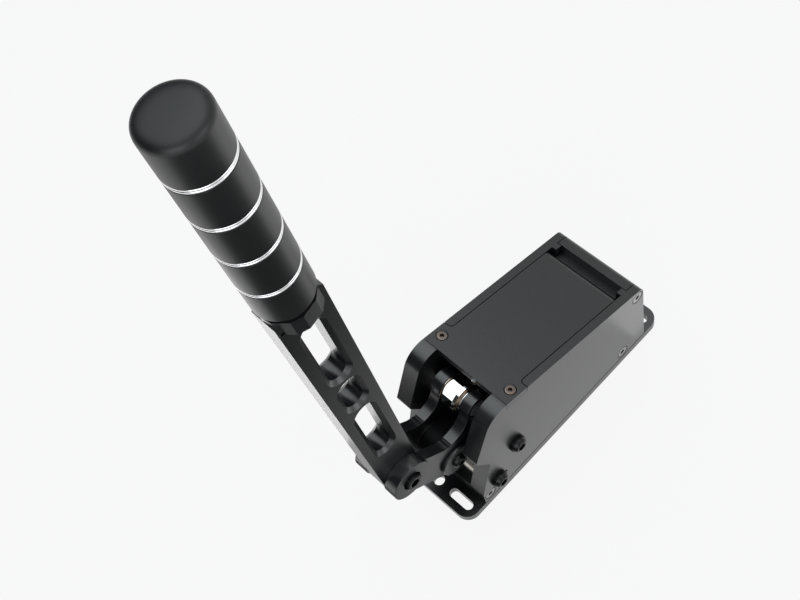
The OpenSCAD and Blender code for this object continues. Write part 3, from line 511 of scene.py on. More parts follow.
class Repeater:
    """The Geometry Nodes tree that repeats a pattern piece."""

    def __init__(self) -> None:
        """Builds the tree: aim, turn, place, realize and dress."""
        self.tree, self.inputs = geometry_tree("repeat_on_spots", {
            "Spots": "Geometry",
            "Pattern": "Object",
            "Finish": "Material",
            "Turn Seed": "Int",
            "Largest Turn": "Float",
        })
        new, join = partial(add_node, self.tree), self.tree.links.new
        given = new("NodeGroupInput").outputs
        heading = new("GeometryNodeInputNamedAttribute", Name="heading")
        heading.data_type = "FLOAT_VECTOR"
        aim = new("FunctionNodeAlignRotationToVector")
        aim.axis = "Z"
        chance = new("FunctionNodeRandomValue")
        chance.data_type = "FLOAT"
        about_z = new("FunctionNodeAxisAngleToRotation", Axis=(0.0, 0.0, 1.0))
        turn = new("FunctionNodeRotateRotation")
        turn.rotation_space = "LOCAL"
        pattern = new("GeometryNodeObjectInfo")
        place = new("GeometryNodeInstanceOnPoints")
        realize = new("GeometryNodeRealizeInstances")
        dress = new("GeometryNodeSetMaterial")
        result = new("NodeGroupOutput")
        random_value = next(out for out in chance.outputs if out.enabled)
        highest = next(i for i in chance.inputs if i.enabled and i.name == "Max")
        join(given["Turn Seed"], chance.inputs["Seed"])
        join(given["Largest Turn"], highest)
        join(random_value, about_z.inputs["Angle"])
        join(heading.outputs["Attribute"], aim.inputs["Vector"])
        join(aim.outputs["Rotation"], turn.inputs["Rotation"])
        join(about_z.outputs["Rotation"], turn.inputs["Rotate By"])
        join(given["Pattern"], pattern.inputs["Object"])
        join(given["Spots"], place.inputs["Points"])
        join(pattern.outputs["Geometry"], place.inputs["Instance"])
        join(turn.outputs["Rotation"], place.inputs["Rotation"])
        join(place.outputs["Instances"], realize.inputs["Geometry"])
        join(realize.outputs["Geometry"], dress.inputs["Geometry"])
        join(given["Finish"], dress.inputs["Material"])
        join(dress.outputs["Geometry"], result.inputs["Geometry"])

    def fit(self, name: str, pattern: bpy.types.Object, spots: list, finish: Finish,
            body: Body, node: str, seed: int = 1) -> None:
        """Repeats a pattern piece on spots, as one plain mesh on its body.

        Args:
            name: Name of the new piece.
            pattern: Piece to repeat, deleted afterwards.
            spots: Where the pieces go, and which way their Z axis points.
            finish: Finish of the pieces.
            body: Body that they ride on.
            node: CAD node that they stand for.
            seed: Seed of each piece's turn about its own axis.
        """
        points = bpy.data.meshes.new(name + "_spots")
        points.from_pydata([Vector(spot.at) * MM for spot in spots], [], [])
        heading = points.attributes.new("heading", "FLOAT_VECTOR", "POINT")
        for entry, spot in zip(heading.data, spots):
            entry.vector = spot.direction
        holder = linked(name + "_holder", points)
        modifier = holder.modifiers.new("repeat", "NODES")
        modifier.node_group = self.tree
        modifier[self.inputs["Pattern"]] = pattern
        modifier[self.inputs["Finish"]] = finish.material()
        modifier[self.inputs["Turn Seed"]] = seed
        modifier[self.inputs["Largest Turn"]] = math.tau
        mesh = applied(holder)
        if "heading" in mesh.attributes:
            mesh.attributes.remove(mesh.attributes["heading"])
        bpy.data.objects.remove(holder)
        bpy.data.objects.remove(pattern)
        settle(linked(name, mesh), body, finish, node)


@dataclass(frozen=True)
class Screw:
    """A screw with a six-sided socket, its head's seat at height zero.

    Attributes:
        shank: Radius of the shank.
        length: Length below the seat.
        head: Rings of the head from the seat up to the socket's edge, as pairs of radius and height.
        socket: Half the socket's width across the flats.
        floor: Height of the socket's floor.
    """

    shank: float
    length: float
    head: tuple
    socket: float
    floor: float

    @classmethod
    def countersunk(cls, shank: float, head: float, socket: float, length: float) -> "Screw":
        """Gives a countersunk screw, driven in to a little under the surface.

        Args:
            shank: Radius of the shank.
            head: Radius of the head.
            socket: Half the socket's width across the flats.
            length: Whole length.

        Returns:
            The screw, with the surface at height zero.
        """
        face, rim, edge_width, edge_height = -0.25, 0.4, 0.25, 0.1
        socket_land, socket_depth = 0.7, 2.9
        head_rings = (
            (shank, face - rim - (head - shank)),
            (head, face - rim),
            (head, face - edge_height),
            (head - edge_width, face),
            (socket + socket_land, face),
        )
        return cls(shank, length, head_rings, socket, face - socket_depth)

    def shape(self, name: str) -> bpy.types.Object:
        """Builds the screw with its socket.

        Args:
            name: Name of the object.

        Returns:
            The screw along the Z axis.
        """
        tip, mouth, drill_point = 0.15 * self.shank, 1.12 * self.socket, 0.3 * self.socket
        mouth_depth = 0.2
        top = self.head[-1][1]
        rings = [Ring(0, -self.length), Ring(self.shank - tip, -self.length)]
        rings += [Ring(self.shank, tip - self.length)]
        rings += [Ring(radius, height) for radius, height in self.head]
        rings += [Ring(mouth, top, True), Ring(self.socket, top - mouth_depth, True)]
        rings += [Ring(self.socket, self.floor, True), Ring(0, self.floor - drill_point)]
        return turned(name, rings)


@dataclass
class Housing:
    """Base plate, side plates, lid, rear cap and the bars between them.

    Attributes:
        repeater: Maker of repeated pieces.
        plates: Plates and bars, which are only trimmed.
        lid_front: Front edge of the lid, in X and Z.
        lid_slope: Slope of the lid in degrees.
        side_screws_at: Screws through the side plates, in X and Z.
        lid_screw_at: Place of a lid screw along the slope and from the middle.
        base_screws_at: Screws through one half of the base plate, in X and Y.
        side_screw: One of the screws through the side plates.
        lid_screw: One of the screws in the lid.
        base_screw: One of the screws through the base plate.
    """

    repeater: Repeater
    plates: tuple = (
        # The base plate's finish is a darker copy of the anodising: painted shade.
        Trimmed("base_plate", 0.6, BASE_SHADED_ANODISED),
        Trimmed("side_plate_left", 0.5, ANODISED, seam=0.15),
        Trimmed("side_plate_right", 0.5, ANODISED, seam=0.15),
        Trimmed("lid", 0.2, ANODISED, seam=0.15),
        Trimmed("rear_cap", 0.5, ANODISED, seam=0.15),
        Trimmed("rear_panel", 0.3, ANODISED),
        Trimmed("front_bar", 0.35, ANODISED),
        Trimmed("rear_bar", 0.3, ANODISED),
        Trimmed("rear_bracket", 0.4, ANODISED),
    )
    lid_front: tuple = (-44.3, 106.0)
    lid_slope: float = 15.0
    side_screws_at: tuple = ((-74.75, 13.3), (58.6, 12.8), (75.3, 66.85))
    lid_screw_at: tuple = (9.8, 28.6)
    base_screws_at: tuple = ((-74.75, 7.5), (58.6, 7.5), (33.0, 10.0))
    side_screw: Screw = Screw.countersunk(shank=2.5, head=4.2, socket=1.7, length=22.0)
    lid_screw: Screw = Screw.countersunk(shank=2.0, head=3.4, socket=1.25, length=12.0)
    base_screw: Screw = Screw.countersunk(shank=2.5, head=4.75, socket=1.5, length=10.9)

    def build(self) -> None:
        """Builds the plates, bars and countersunk screws."""
        for entry in self.plates:
            entry.fit(Body.HOUSING)
        self.add_side_screws()
        self.add_lid_screws()
        self.add_base_screws()

    def add_side_screws(self) -> None:
        """Adds the countersunk screws through the side plates."""
        pattern = self.side_screw.shape("side_screw")
        spots = both_sides(self.side_screws_at, HALF_WIDTH)
        self.repeater.fit("side_plate_screws", pattern, spots, SCREW,
                          Body.HOUSING, "side_screws", seed=3)

    def add_lid_screws(self) -> None:
        """Adds the two countersunk screws in the lid."""
        pattern = self.lid_screw.shape("lid_screw")
        slope = math.radians(self.lid_slope)
        along, across = self.lid_screw_at
        x = self.lid_front[0] + along * math.cos(slope)
        z = self.lid_front[1] - along * math.sin(slope)
        up = (math.sin(slope), 0.0, math.cos(slope))
        spots = [Spot((x, side * across, z), up) for side in (-1.0, 1.0)]
        self.repeater.fit("lid_plate_screws", pattern, spots, BRONZE,
                          Body.HOUSING, "lid_screws", seed=5)

    def add_base_screws(self) -> None:
        """Adds the countersunk screws driven up through the base plate."""
        pattern = self.base_screw.shape("base_screw")
        down = (0.0, 0.0, -1.0)
        spots = [
            Spot((x, side * y, 0.0), down)
            for x, y in self.base_screws_at for side in (-1.0, 1.0)
        ]
        self.repeater.fit("base_plate_screws", pattern, spots, SCREW,
                          Body.HOUSING, "base_screws", seed=7)


@dataclass
class PivotSupport:
    """Pivot block with its bushes, and the bolts and spacers that hold it between the side plates.

    Attributes:
        repeater: Maker of repeated pieces.
        upper_bolt: Upper frame bolt, in X and Z.
        lower_bolt: Lower frame bolt, in X and Z.
        block_half: Half thickness of the pivot block.
        plain: Pieces that are only trimmed.
        bolt: One of the flanged bolts.
        washer: Section of a thin washer, as pairs of radius and height.
        washer_pitch: Distance from one thin washer to the next.
        washer_count: Thin washers on each side.
    """

    repeater: Repeater
    upper_bolt: tuple = (-44.8, 46.3)
    lower_bolt: tuple = (-65.4, 23.9)
    block_half: float = 6.6
    plain: tuple = (
        # The pivot block's finish is a darker, duller copy of the anodising: painted shade.
        Trimmed("pivot_block", 0.4, BLOCK_SHADED_ANODISED),
        Trimmed("upper_spacers", 0.5, NICKEL),
        Trimmed("lower_spacers", 0.5, NICKEL),
        Trimmed("pivot_bushes", 0.3, MOULDED),
        Trimmed("dowel_pins", 0.25, OXIDE),
        Trimmed("cylinder_pin", 0.4, STEEL),
    )
    bolt: Screw = Screw(
        shank=4.0, length=33.5, socket=2.75, floor=1.4,
        head=(
            (4.0, 0.0), (6.2, 0.0), (6.3, 0.15), (6.3, 2.0), (6.1, 2.3),
            (5.5, 3.2), (5.1, 4.1), (4.7, 4.7), (4.2, 5.0), (3.3, 5.0),
        ),
    )
    washer: tuple = ((4.05, 0.0), (7.6, 0.0), (7.9, 0.25), (7.9, 0.75), (7.6, 1.0), (4.05, 1.0))
    washer_pitch: float = 1.1
    washer_count: int = 4

    def build(self) -> None:
        """Builds the block, the spacers and the bolts."""
        for entry in self.plain:
            entry.fit(Body.HOUSING)
        self.add_bolts()
        self.add_washers()

    def add_bolts(self) -> None:
        """Adds the flanged bolts on both sides."""
        nodes = ("upper_frame_bolts", "lower_frame_bolts")
        for node, at in zip(nodes, (self.upper_bolt, self.lower_bolt)):
            pattern = self.bolt.shape("frame_bolt")
            spots = both_sides((at,), HALF_WIDTH)
            self.repeater.fit(node + "_dressed", pattern, spots, OXIDE,
                              Body.HOUSING, node, seed=11)

    def add_washers(self) -> None:
        """Adds the stacks of thin washers on the lower bolt."""
        x, z = self.lower_bolt
        pattern = turned("thin_washer", [Ring(*pair) for pair in self.washer], closed=True)
        spots = [
            Spot((x, side * (self.block_half + i * self.washer_pitch), z), (0.0, side, 0.0))
            for side in (-1.0, 1.0) for i in range(self.washer_count)
        ]
        self.repeater.fit("lower_washer_stacks", pattern, spots, OXIDE,
                          Body.HOUSING, "lower_washers")


@dataclass
class RearPanelFittings:
    """Circuit board, standoffs and the two sockets behind the rear panel.

    Attributes:
        plain: Pieces that are only trimmed.
    """

    plain: tuple = (
        Trimmed("sensor_board", 0.1, BOARD),
        Trimmed("board_standoffs", 0.15, BRASS),
        Trimmed("usb_socket", 0.3, STEEL),
        Trimmed("data_socket", 0.3, MOULDED),
    )

    def build(self) -> None:
        """Builds the board and the sockets."""
        for entry in self.plain:
            entry.fit(Body.HOUSING)


@dataclass
class Yoke:
    """The two dog-leg plates with their pins, screws and the washers on the clevis pin.

    Attributes:
        repeater: Maker of repeated pieces.
        pivot: Main pivot, in X and Z.
        washer_face: Distance of the pivot washers' outer faces from the middle.
        counterbore_floor: Distance of the knuckle counterbores' floors from the middle.
        plain: Pieces that are only trimmed.
        pivot_screw: One of the round-headed screws that hold the pivot washers.
        knuckle_bolt: One of the socket-head bolts sunk in the knuckle bosses.
    """

    repeater: Repeater
    pivot: tuple = (-79.5, 56.5)
    washer_face: float = 18.4
    counterbore_floor: float = 11.8
    plain: tuple = (
        Trimmed("yoke_plate_left", 0.45, ANODISED),
        Trimmed("yoke_plate_right", 0.45, ANODISED),
        Trimmed("pivot_washers", 0.6, ANODISED),
        Trimmed("pivot_shaft", 0.3, STEEL),
        Trimmed("knuckle_pin", 0.3, STEEL),
        Trimmed("clevis_pin", 0.3, STEEL),
        Trimmed("clevis_washers", 0.15, WASHER_BRONZE),
        Trimmed("clevis_spacers", 0.25, CHROME),
    )
    pivot_screw: Screw = Screw(
        shank=3.0, length=12.0, socket=2.0, floor=1.0,
        head=(
            (3.0, 0.0), (5.4, 0.0), (5.35, 0.7), (4.95, 1.8), (4.2, 2.7), (3.2, 3.2), (2.7, 3.2),
        ),
    )
    knuckle_bolt: Screw = Screw(
        shank=4.0, length=11.3, socket=3.0, floor=1.6,
        head=((4.0, 0.0), (6.0, 0.0), (6.0, 7.4), (5.5, 7.9), (5.2, 8.0), (3.9, 8.0)),
    )

    def build(self) -> None:
        """Builds the plates, pins, screws and washers."""
        for entry in self.plain:
            entry.fit(Body.YOKE)
        self.add_pivot_screws()
        self.add_knuckle_bolts()

    def add_pivot_screws(self) -> None:
        """Adds the round-headed screws that hold the pivot washers."""
        pattern = self.pivot_screw.shape("pivot_screw")
        spots = both_sides((self.pivot,), self.washer_face)
        self.repeater.fit("pivot_washer_screws", pattern, spots, OXIDE,
                          Body.YOKE, "pivot_screws", seed=13)

    def add_knuckle_bolts(self) -> None:
        """Adds the socket-head bolts sunk in the knuckle bosses."""
        pattern = self.knuckle_bolt.shape("knuckle_bolt")
        spots = both_sides((KNUCKLE,), self.counterbore_floor)
        self.repeater.fit("knuckle_socket_bolts", pattern, spots, OXIDE,
                          Body.YOKE, "knuckle_bolts", seed=17)


@dataclass
class Handle:
    """Arm and grip.

    Attributes:
        lean: Forward lean of the arm in degrees.
        grip_foot: Height of the grip's foot over the knuckle axis, along the arm.
        first_band: Height of the first bright ring over the grip's foot.
        band_pitch: Pitch of the bright rings.
        last_band: Height of the grip's end over the last ring.
        band_count: Number of bright rings.
        grip_radius: Radius of the grip.
        rod_radius: Radius of the hole for the rod.
        sleeve_edge: Width of the sleeves' broken edges.
        ring_width: Width of a bright ring.
        bead_steps: Steps round each bead of a ring.
        end_depth: Depth of the domed end.
        end_power: Power of the dome's curve, smaller for a squarer end.
        end_steps: Steps along that curve.
        end_wall: Thickness of the end over the hole for the rod.
        steps: Points round the grip.
        plain: Pieces that are only trimmed.
    """

    lean: float = 1.7
    grip_foot: float = 231.8
    first_band: float = 23.6
    band_pitch: float = 27.5
    last_band: float = 28.0
    band_count: int = 4
    grip_radius: float = 16.0
    rod_radius: float = 6.55
    sleeve_edge: float = 0.15
    ring_width: float = 3.0
    bead_steps: int = 8
    end_depth: float = 6.5
    end_power: float = 0.68
    end_steps: int = 20
    end_wall: float = 10.0
    steps: int = 96
    plain: tuple = (
        Trimmed("arm", 0.4, ANODISED),
        Trimmed("grip_rod", 0.4, ALUMINIUM),
        Trimmed("grip_lock_screw", 0.1, OXIDE),
    )

    def build(self) -> None:
        """Builds the arm and the grip."""
        for entry in self.plain:
            entry.fit(Body.HANDLE)
        for i in range(self.band_count):
            self.add_sleeve(i)
            self.add_ring(i)
        self.add_end()

    def add_turned(self, name: str, node: str, profile: list, finish: Finish,
                   closed: bool = True) -> None:
        """Turns a piece of the grip round the arm's own axis and hands it to the handle.

        Args:
            name: Name of the piece.
            node: CAD node that it stands for.
            profile: Its section as pairs of radius and height over the knuckle.
            finish: Finish that covers it.
            closed: Whether the section is a closed one, as in a sleeve.
        """
        piece = turned(name, [Ring(*pair) for pair in profile], closed, self.steps)
        x, z = KNUCKLE
        place = Matrix.Translation(Vector((x, 0.0, z)) * MM)
        piece.data.transform(place @ Matrix.Rotation(math.radians(-self.lean), 4, "Y"))
        settle(piece, Body.HANDLE, finish, node)

    def ring_height(self, i: int) -> float:
        """Returns the height of a bright ring's middle, counted from 0."""
        return self.grip_foot + self.first_band + self.band_pitch * i

    def add_sleeve(self, i: int) -> None:
        """Adds a black sleeve below a bright ring.

        Args:
            i: Number of the sleeve, counted from 0 at the grip's foot.
        """
        half = self.ring_width / 2
        low = self.grip_foot if i == 0 else self.ring_height(i - 1) + half
        high = self.ring_height(i) - half
        outer, edge = self.grip_radius, self.sleeve_edge
        profile = [(self.rod_radius, low), (outer - edge, low), (outer, low + edge)]
        profile += [(outer, high - edge), (outer - edge, high), (self.rod_radius, high)]
        node = f"grip_sleeve_{i + 1}"
        self.add_turned(node + "_dressed", node, profile, GRIP)

    def add_ring(self, i: int) -> None:
        """Adds a bright ring with its two turned beads.

        Args:
            i: Number of the ring, counted from 0 at the grip's foot.
        """
        middle, half = self.ring_height(i), self.ring_width / 2
        bead = half / 2
        profile = [(self.rod_radius, middle - half)]
        for centre in (middle - bead, middle + bead):
            for k in range(self.bead_steps + 1):
                turn = math.pi * (k / self.bead_steps - 0.5)
                reach = self.grip_radius - bead + bead * math.cos(turn)
                profile.append((reach, centre + bead * math.sin(turn)))
        profile.append((self.rod_radius, middle + half))
        node = f"grip_ring_{i + 1}"
        self.add_turned(node + "_dressed", node, profile, RING)

    def add_end(self) -> None:
        """Adds the grip's closed, rounded end."""
        last_ring = self.ring_height(self.band_count - 1)
        foot = last_ring + self.ring_width / 2
        top = last_ring + self.last_band
        bore_top = top - self.end_wall
        outer, edge, depth = self.grip_radius, self.sleeve_edge, self.end_depth
        profile = [(0.0, bore_top), (self.rod_radius, bore_top), (self.rod_radius, foot)]
        profile += [(outer - edge, foot), (outer, foot + edge)]
        for k in range(self.end_steps):
            turn = math.pi / 2 * k / self.end_steps
            reach, rise = math.cos(turn) ** self.end_power, math.sin(turn) ** self.end_power
            profile.append((outer * reach, top - depth + depth * rise))
        profile.append((0.0, top))
        self.add_turned("grip_end_dressed", "grip_cap", profile, GRIP, closed=False)


@dataclass
class PressureCylinder:
    """The cylinder with its gland, spring, bump stop and sensor, and the plunger that slides in it.

    Attributes:
        clevis: Clevis axis, in X and Z, where the cylinder's own axis starts.
        tilt: Fall of the cylinder's axis in degrees.
        spring: First and last point of the spring along that axis.
        coil_radius: Radius of the coil's middle.
        wire_radius: Radius of the wire.
        coils: Number of turns.
        coil_steps: Points along each turn.
        wire_steps: Points round the wire.
        stroke: Way that the piston goes over the full pull; not used.
        cylinder: Trimmed pieces that ride on the cylinder.
        plunger: Trimmed pieces that ride on the plunger.
    """

    clevis: tuple = (-53.3, 87.8)
    tilt: float = 39.286
    spring: tuple = (55.3, 81.7)
    coil_radius: float = 9.2
    wire_radius: float = 1.15
    coils: float = 5.5
    coil_steps: int = 32
    wire_steps: int = 12
    stroke: float = 10.6
    cylinder: tuple = (
        Trimmed("cylinder_body", 0.5, ALUMINIUM),
        Trimmed("gland_nut", 0.4, BRASS),
        Trimmed("bump_stop", 0.3, RUBBER),
        Trimmed("pressure_sensor", 0.3, BRASS),
    )
    plunger: tuple = (
        Trimmed("rod_end", 0.35, CHROME),
        Trimmed("push_rod", 0.4, OXIDE),
        Trimmed("rod_lock_nut", 0.3, CHROME),
        Trimmed("piston", 0.3, ALUMINIUM),
        Trimmed("piston_seal", 0.1, RUBBER),
    )

    def build(self) -> None:
        """Builds the parts of the cylinder and of the plunger."""
        for entry in self.cylinder:
            entry.fit(Body.CYLINDER)
        for entry in self.plunger:
            entry.fit(Body.PLUNGER)
        self.add_spring()

    def coil_tree(self) -> tuple:
        """Builds the tree that winds a wire.

        Returns:
            The tree and the identifiers of its inputs by name.
        """
        tree, keys = geometry_tree("wound_wire", {
            "Turns": "Float",
            "Coil Radius": "Float",
            "Length": "Float",
            "Wire Radius": "Float",
            "Finish": "Material",
        })
        new, join = partial(add_node, tree), tree.links.new
        given = new("NodeGroupInput").outputs
        spiral = new("GeometryNodeCurveSpiral", Resolution=self.coil_steps)
        section = new("GeometryNodeCurvePrimitiveCircle", Resolution=self.wire_steps)
        sweep = new("GeometryNodeCurveToMesh", Fill_Caps=True)
        realize = new("GeometryNodeRealizeInstances")
        dress = new("GeometryNodeSetMaterial")
        result = new("NodeGroupOutput")
        join(given["Turns"], spiral.inputs["Rotations"])
        join(given["Coil Radius"], spiral.inputs["Start Radius"])
        join(given["Coil Radius"], spiral.inputs["End Radius"])
        join(given["Length"], spiral.inputs["Height"])
        join(given["Wire Radius"], section.inputs["Radius"])
        join(spiral.outputs["Curve"], sweep.inputs["Curve"])
        join(section.outputs["Curve"], sweep.inputs["Profile Curve"])
        join(sweep.outputs["Mesh"], realize.inputs["Geometry"])
        join(realize.outputs["Geometry"], dress.inputs["Geometry"])
        join(given["Finish"], dress.inputs["Material"])
        join(dress.outputs["Geometry"], result.inputs["Geometry"])
        return tree, keys

    def add_spring(self) -> None:
        """Adds the wound spring as a fixed coil; the real spring shortens as the piston comes in."""
        tree, keys = self.coil_tree()
        first, last = self.spring
        start, end = first + self.wire_radius, last - self.wire_radius
        holder = linked("spring_holder", bpy.data.meshes.new("spring_holder"))
        modifier = holder.modifiers.new("wire", "NODES")
        modifier.node_group = tree
        modifier[keys["Turns"]] = self.coils
        modifier[keys["Coil Radius"]] = self.coil_radius * MM
        modifier[keys["Length"]] = (end - start) * MM
        modifier[keys["Wire Radius"]] = self.wire_radius * MM
        modifier[keys["Finish"]] = STEEL.material()
        mesh = applied(holder)
        bpy.data.objects.remove(holder)
        x, z = self.clevis
        lie_down = Matrix.Rotation(math.radians(90), 4, "Y")
        along = Matrix.Rotation(math.radians(self.tilt), 4, "Y")
        place = Matrix.Translation(Vector((x, 0.0, z)) * MM) @ along
        mesh.transform(place @ Matrix.Translation((start * MM, 0.0, 0.0)) @ lie_down)
        piece = linked("return_spring_coil", mesh)
        smooth_flats(piece)
        settle(piece, Body.CYLINDER, STEEL, "return_spring")
        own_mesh(piece)


@dataclass(frozen=True)
class Card:
    """A flat card beside the object, which only reflections show: a painted dark or bright
    reflection that gives no light or shadow.

    Attributes:
        name: Name of the card.
        glow: How bright its painted reflection looks, where 1 is white.
        corners: Its corners in metres.
    """

    name: str
    glow: float
    corners: tuple


@dataclass(frozen=True)
class Lamp:
    """A square soft lamp.

    Attributes:
        name: Name of the lamp.
        at: Its place in metres.
        target: The point that it faces, in metres.
        size: Its width in metres.
        power: Its power in watts.
    """

    name: str
    at: tuple
    target: tuple
    size: float
    power: float


@dataclass
class Studio:
    """Pale floor, white surroundings, soft lamps and the camera.

    Attributes:
        camera_at: Camera's place.
        camera_axes: Rows that point right, down and forward in the picture.
        lens: Focal length.
        sensor: Width of the camera's sensor.
        floor_reach: Half width of the floor in metres.
        floor_drop: Depth of the floor under the base plate in metres.
        floor_shade: Share of the light that the floor scatters.
        floor_glow: How bright the floor looks, where 1 is white.
        shadow_share: Share of the floor's real shading that the camera sees.
        world_light: Strength of the surroundings as light.
        lamp_colour: Colour of the lamps.
        white: Strength of the surroundings as the camera sees them.
        bright_side: Where the surroundings are brightest in reflections.
        mirrored: How far a direction leans to that side, from -1 to 1, and the strength there.
        cards: Cards that paint dark and bright reflections of surroundings near the floor.
        lamps: The soft lamps.
    """

    camera_at: tuple = (-205.14036, -273.86940, 758.39174)
    camera_axes: tuple = (
        (0.69058608, -0.69962208, -0.18335706),
        (-0.68706235, -0.55541236, -0.46846817),
        (0.2259119, 0.44949533, -0.86424404),
    )
    lens: float = 53.596
    sensor: float = 36.0
    floor_reach: float = 4.0
    floor_drop: float = 0.0002
    floor_shade: float = 0.92
    floor_glow: float = 0.955
    shadow_share: float = 0.07
    world_light: float = 0.3
    lamp_colour: tuple = (0.9, 0.97, 1.0)
    white: float = 0.93
    bright_side: tuple = (0.45, -0.8, 0.2)
    mirrored: tuple = ((-0.34, 0.03), (-0.1, 0.42), (0.12, 0.53), (0.5, 0.72))
    cards: tuple = (
        # floor_card and front_card paint dark reflections, grey_card a grey one, bright_card and
        # rear_card bright ones.
        Card("floor_card", 0.02, (
            (0.12, -0.2, 0.0), (0.2, -0.5, 0.0), (-0.3, -0.6, 0.0), (-0.6, -0.3, 0.0),
            (-0.55, 0.0, 0.0), (-0.24, 0.0, 0.0), (-0.2, -0.13, 0.0), (0.0, -0.15, 0.0),
        )),
        Card("grey_card", 0.32, (
            (-0.2, -0.13, 0.0), (-0.24, 0.0, 0.0), (-0.16, -0.03, 0.0), (-0.1, -0.045, 0.0),
            (-0.04, -0.1, 0.0), (0.0, -0.15, 0.0),
        )),
        Card("front_card", 0.02, (
            (-0.16, -0.1, 0.0), (-0.16, 0.2, 0.0), (-0.16, 0.2, 0.055), (-0.16, -0.1, 0.055),
        )),
        Card("bright_card", 2.2, (
            (-0.3, 0.07, 0.0), (-0.1, 0.07, 0.0), (-0.1, 0.26, 0.0), (-0.3, 0.26, 0.0),
        )),
        Card("rear_card", 1.45, (
            (0.077, -0.16, 0.0), (0.4, -0.4, 0.0), (0.4, -0.041, 0.0), (0.077, -0.041, 0.0),
        )),
    )
    lamps: tuple = (
        Lamp("overhead", at=(0.07, 0.43, 1.5), target=(0.0, 0.0, 0.15), size=1.75, power=12.5),
        Lamp("left", at=(-1.2, -0.9, 0.9), target=(-0.05, 0.0, 0.15), size=1.2, power=7.0),
        Lamp("right", at=(0.6, -1.6, 0.95), target=(0.0, 0.0, 0.1), size=1.0, power=5.0),
    )

    def build(self) -> None:
        """Builds the floor, the surroundings, the lamps and the camera."""
        scene = bpy.context.scene
        scene.view_settings.view_transform = "Standard"
        self.add_camera()
        self.add_world()
        self.add_floor()
        for card in self.cards:
            self.add_card(card)
        for lamp in self.lamps:
            self.add_lamp(lamp)

    def add_camera(self) -> None:
        """Adds the camera at the photograph's place."""
        right, down, forward = (Vector(row) for row in self.camera_axes)
        turn = Matrix((right, -down, -forward)).transposed().to_4x4()
        data = bpy.data.cameras.new("camera")
        data.sensor_width = self.sensor
        data.lens = self.lens
        camera = bpy.data.objects.new("camera", data)
        camera.matrix_world = Matrix.Translation(Vector(self.camera_at) * MM) @ turn
        bpy.context.scene.collection.objects.link(camera)
        bpy.context.scene.camera = camera

    def add_world(self) -> None:
        """Adds surroundings that look white, with a darker lever side in reflections."""
        world = bpy.data.worlds.new("studio")
        bpy.context.scene.world = world
        world.use_nodes = True
        tree = world.node_tree
        new, join = partial(add_node, tree), tree.links.new
        place = new("ShaderNodeTexCoord")
        side = new("ShaderNodeVectorMath")
        side.operation = "DOT_PRODUCT"
        side.inputs[1].default_value = self.bright_side
        join(place.outputs["Generated"], side.inputs[0])
        share = new("ShaderNodeMapRange", From_Min=-1.0)
        join(side.outputs["Value"], share.inputs["Value"])
        mirrored = new("ShaderNodeValToRGB")
        stops = mirrored.color_ramp.elements
        for stop, (_, level) in zip(stops, (self.mirrored[0], self.mirrored[-1])):
            stop.color = (level, level, level, 1.0)
        for lean, level in self.mirrored:
            stops.new((lean + 1) / 2).color = (level, level, level, 1.0)
        join(share.outputs["Result"], mirrored.inputs["Fac"])
        reflected = new("ShaderNodeMapRange", To_Min=self.world_light)
        join(any_ray(tree, "Is Glossy Ray"), reflected.inputs["Value"])
        join(mirrored.outputs["Color"], reflected.inputs["To Max"])
        strength = new("ShaderNodeMapRange", To_Max=self.white)
        join(any_ray(tree, "Is Camera Ray", "Is Transmission Ray"), strength.inputs["Value"])
        join(reflected.outputs["Result"], strength.inputs["To Min"])
        background = tree.nodes["Background"]
        background.inputs["Color"].default_value = (1.0, 1.0, 1.0, 1.0)
        join(strength.outputs["Result"], background.inputs["Strength"])

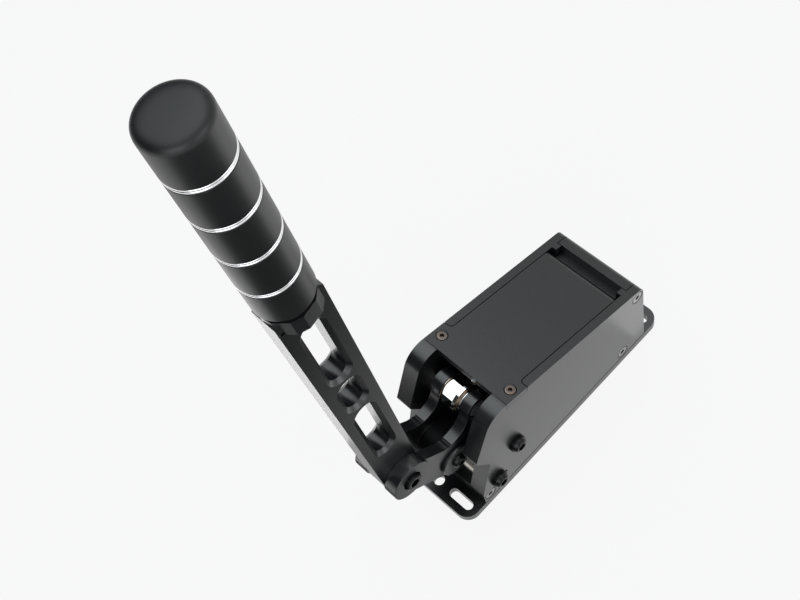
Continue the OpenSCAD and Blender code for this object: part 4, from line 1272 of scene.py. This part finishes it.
    def add_floor(self) -> None:
        """Adds the pale floor, which keeps a faint shadow of the object."""
        r, z = self.floor_reach, -self.floor_drop
        mesh = bpy.data.meshes.new("floor")
        corners = [(-r, -r, z), (r, -r, z), (r, r, z), (-r, r, z)]
        mesh.from_pydata(corners, [], [(0, 1, 2, 3)])
        floor = linked("floor", mesh)
        material = bpy.data.materials.new("floor_white")
        material.use_nodes = True
        tree = material.node_tree
        tree.nodes.clear()
        new, join = partial(add_node, tree), tree.links.new
        matt = new("ShaderNodeBsdfDiffuse", Color=(*[self.floor_shade] * 3, 1.0))
        glow = new("ShaderNodeEmission", Color=(*[self.floor_glow] * 3, 1.0))
        share = new("ShaderNodeMath")
        share.operation = "MULTIPLY"
        share.inputs[1].default_value = 1 - self.shadow_share
        mix = new("ShaderNodeMixShader")
        result = new("ShaderNodeOutputMaterial")
        shown = any_ray(tree, "Is Camera Ray", "Is Glossy Ray", "Is Transmission Ray")
        join(shown, share.inputs[0])
        join(share.outputs[0], mix.inputs["Fac"])
        join(matt.outputs[0], mix.inputs[1])
        join(glow.outputs[0], mix.inputs[2])
        join(mix.outputs[0], result.inputs["Surface"])
        mesh.materials.append(material)

    def add_card(self, card: Card) -> None:
        """Adds a card that only reflections show, as a painted reflection.

        Args:
            card: The card's sizes and glow.
        """
        material = bpy.data.materials.new(card.name)
        material.use_nodes = True
        # The card is no lamp: its glow reaches only reflections, as a painted reflection.
        material.cycles.emission_sampling = "NONE"
        tree = material.node_tree
        tree.nodes.clear()
        light = add_node(tree, "ShaderNodeEmission", Strength=card.glow)
        result = add_node(tree, "ShaderNodeOutputMaterial")
        tree.links.new(light.outputs[0], result.inputs["Surface"])
        mesh = bpy.data.meshes.new(card.name)
        mesh.from_pydata(card.corners, [], [tuple(range(len(card.corners)))])
        mesh.materials.append(material)
        sheet = linked(card.name, mesh)
        sheet.visible_camera = False
        sheet.visible_diffuse = False
        sheet.visible_transmission = False
        sheet.visible_shadow = False

    def add_lamp(self, lamp: Lamp) -> None:
        """Adds a square soft lamp.

        Args:
            lamp: The lamp's place, size and power.
        """
        data = bpy.data.lights.new(lamp.name, "AREA")
        data.size = lamp.size
        data.energy = lamp.power
        data.color = self.lamp_colour
        light = bpy.data.objects.new(lamp.name, data)
        light.location = lamp.at
        facing = (Vector(lamp.target) - Vector(lamp.at)).to_track_quat("-Z", "Y")
        light.rotation_euler = facing.to_euler()
        bpy.context.scene.collection.objects.link(light)


def main() -> None:
    """Builds the studio and every sub-assembly."""
    logging.basicConfig(level=logging.INFO, format="%(message)s")
    Studio().build()
    repeater = Repeater()
    Housing(repeater).build()
    PivotSupport(repeater).build()
    RearPanelFittings().build()
    Yoke(repeater).build()
    Handle().build()
    PressureCylinder().build()


if __name__ == "__main__":
    main()
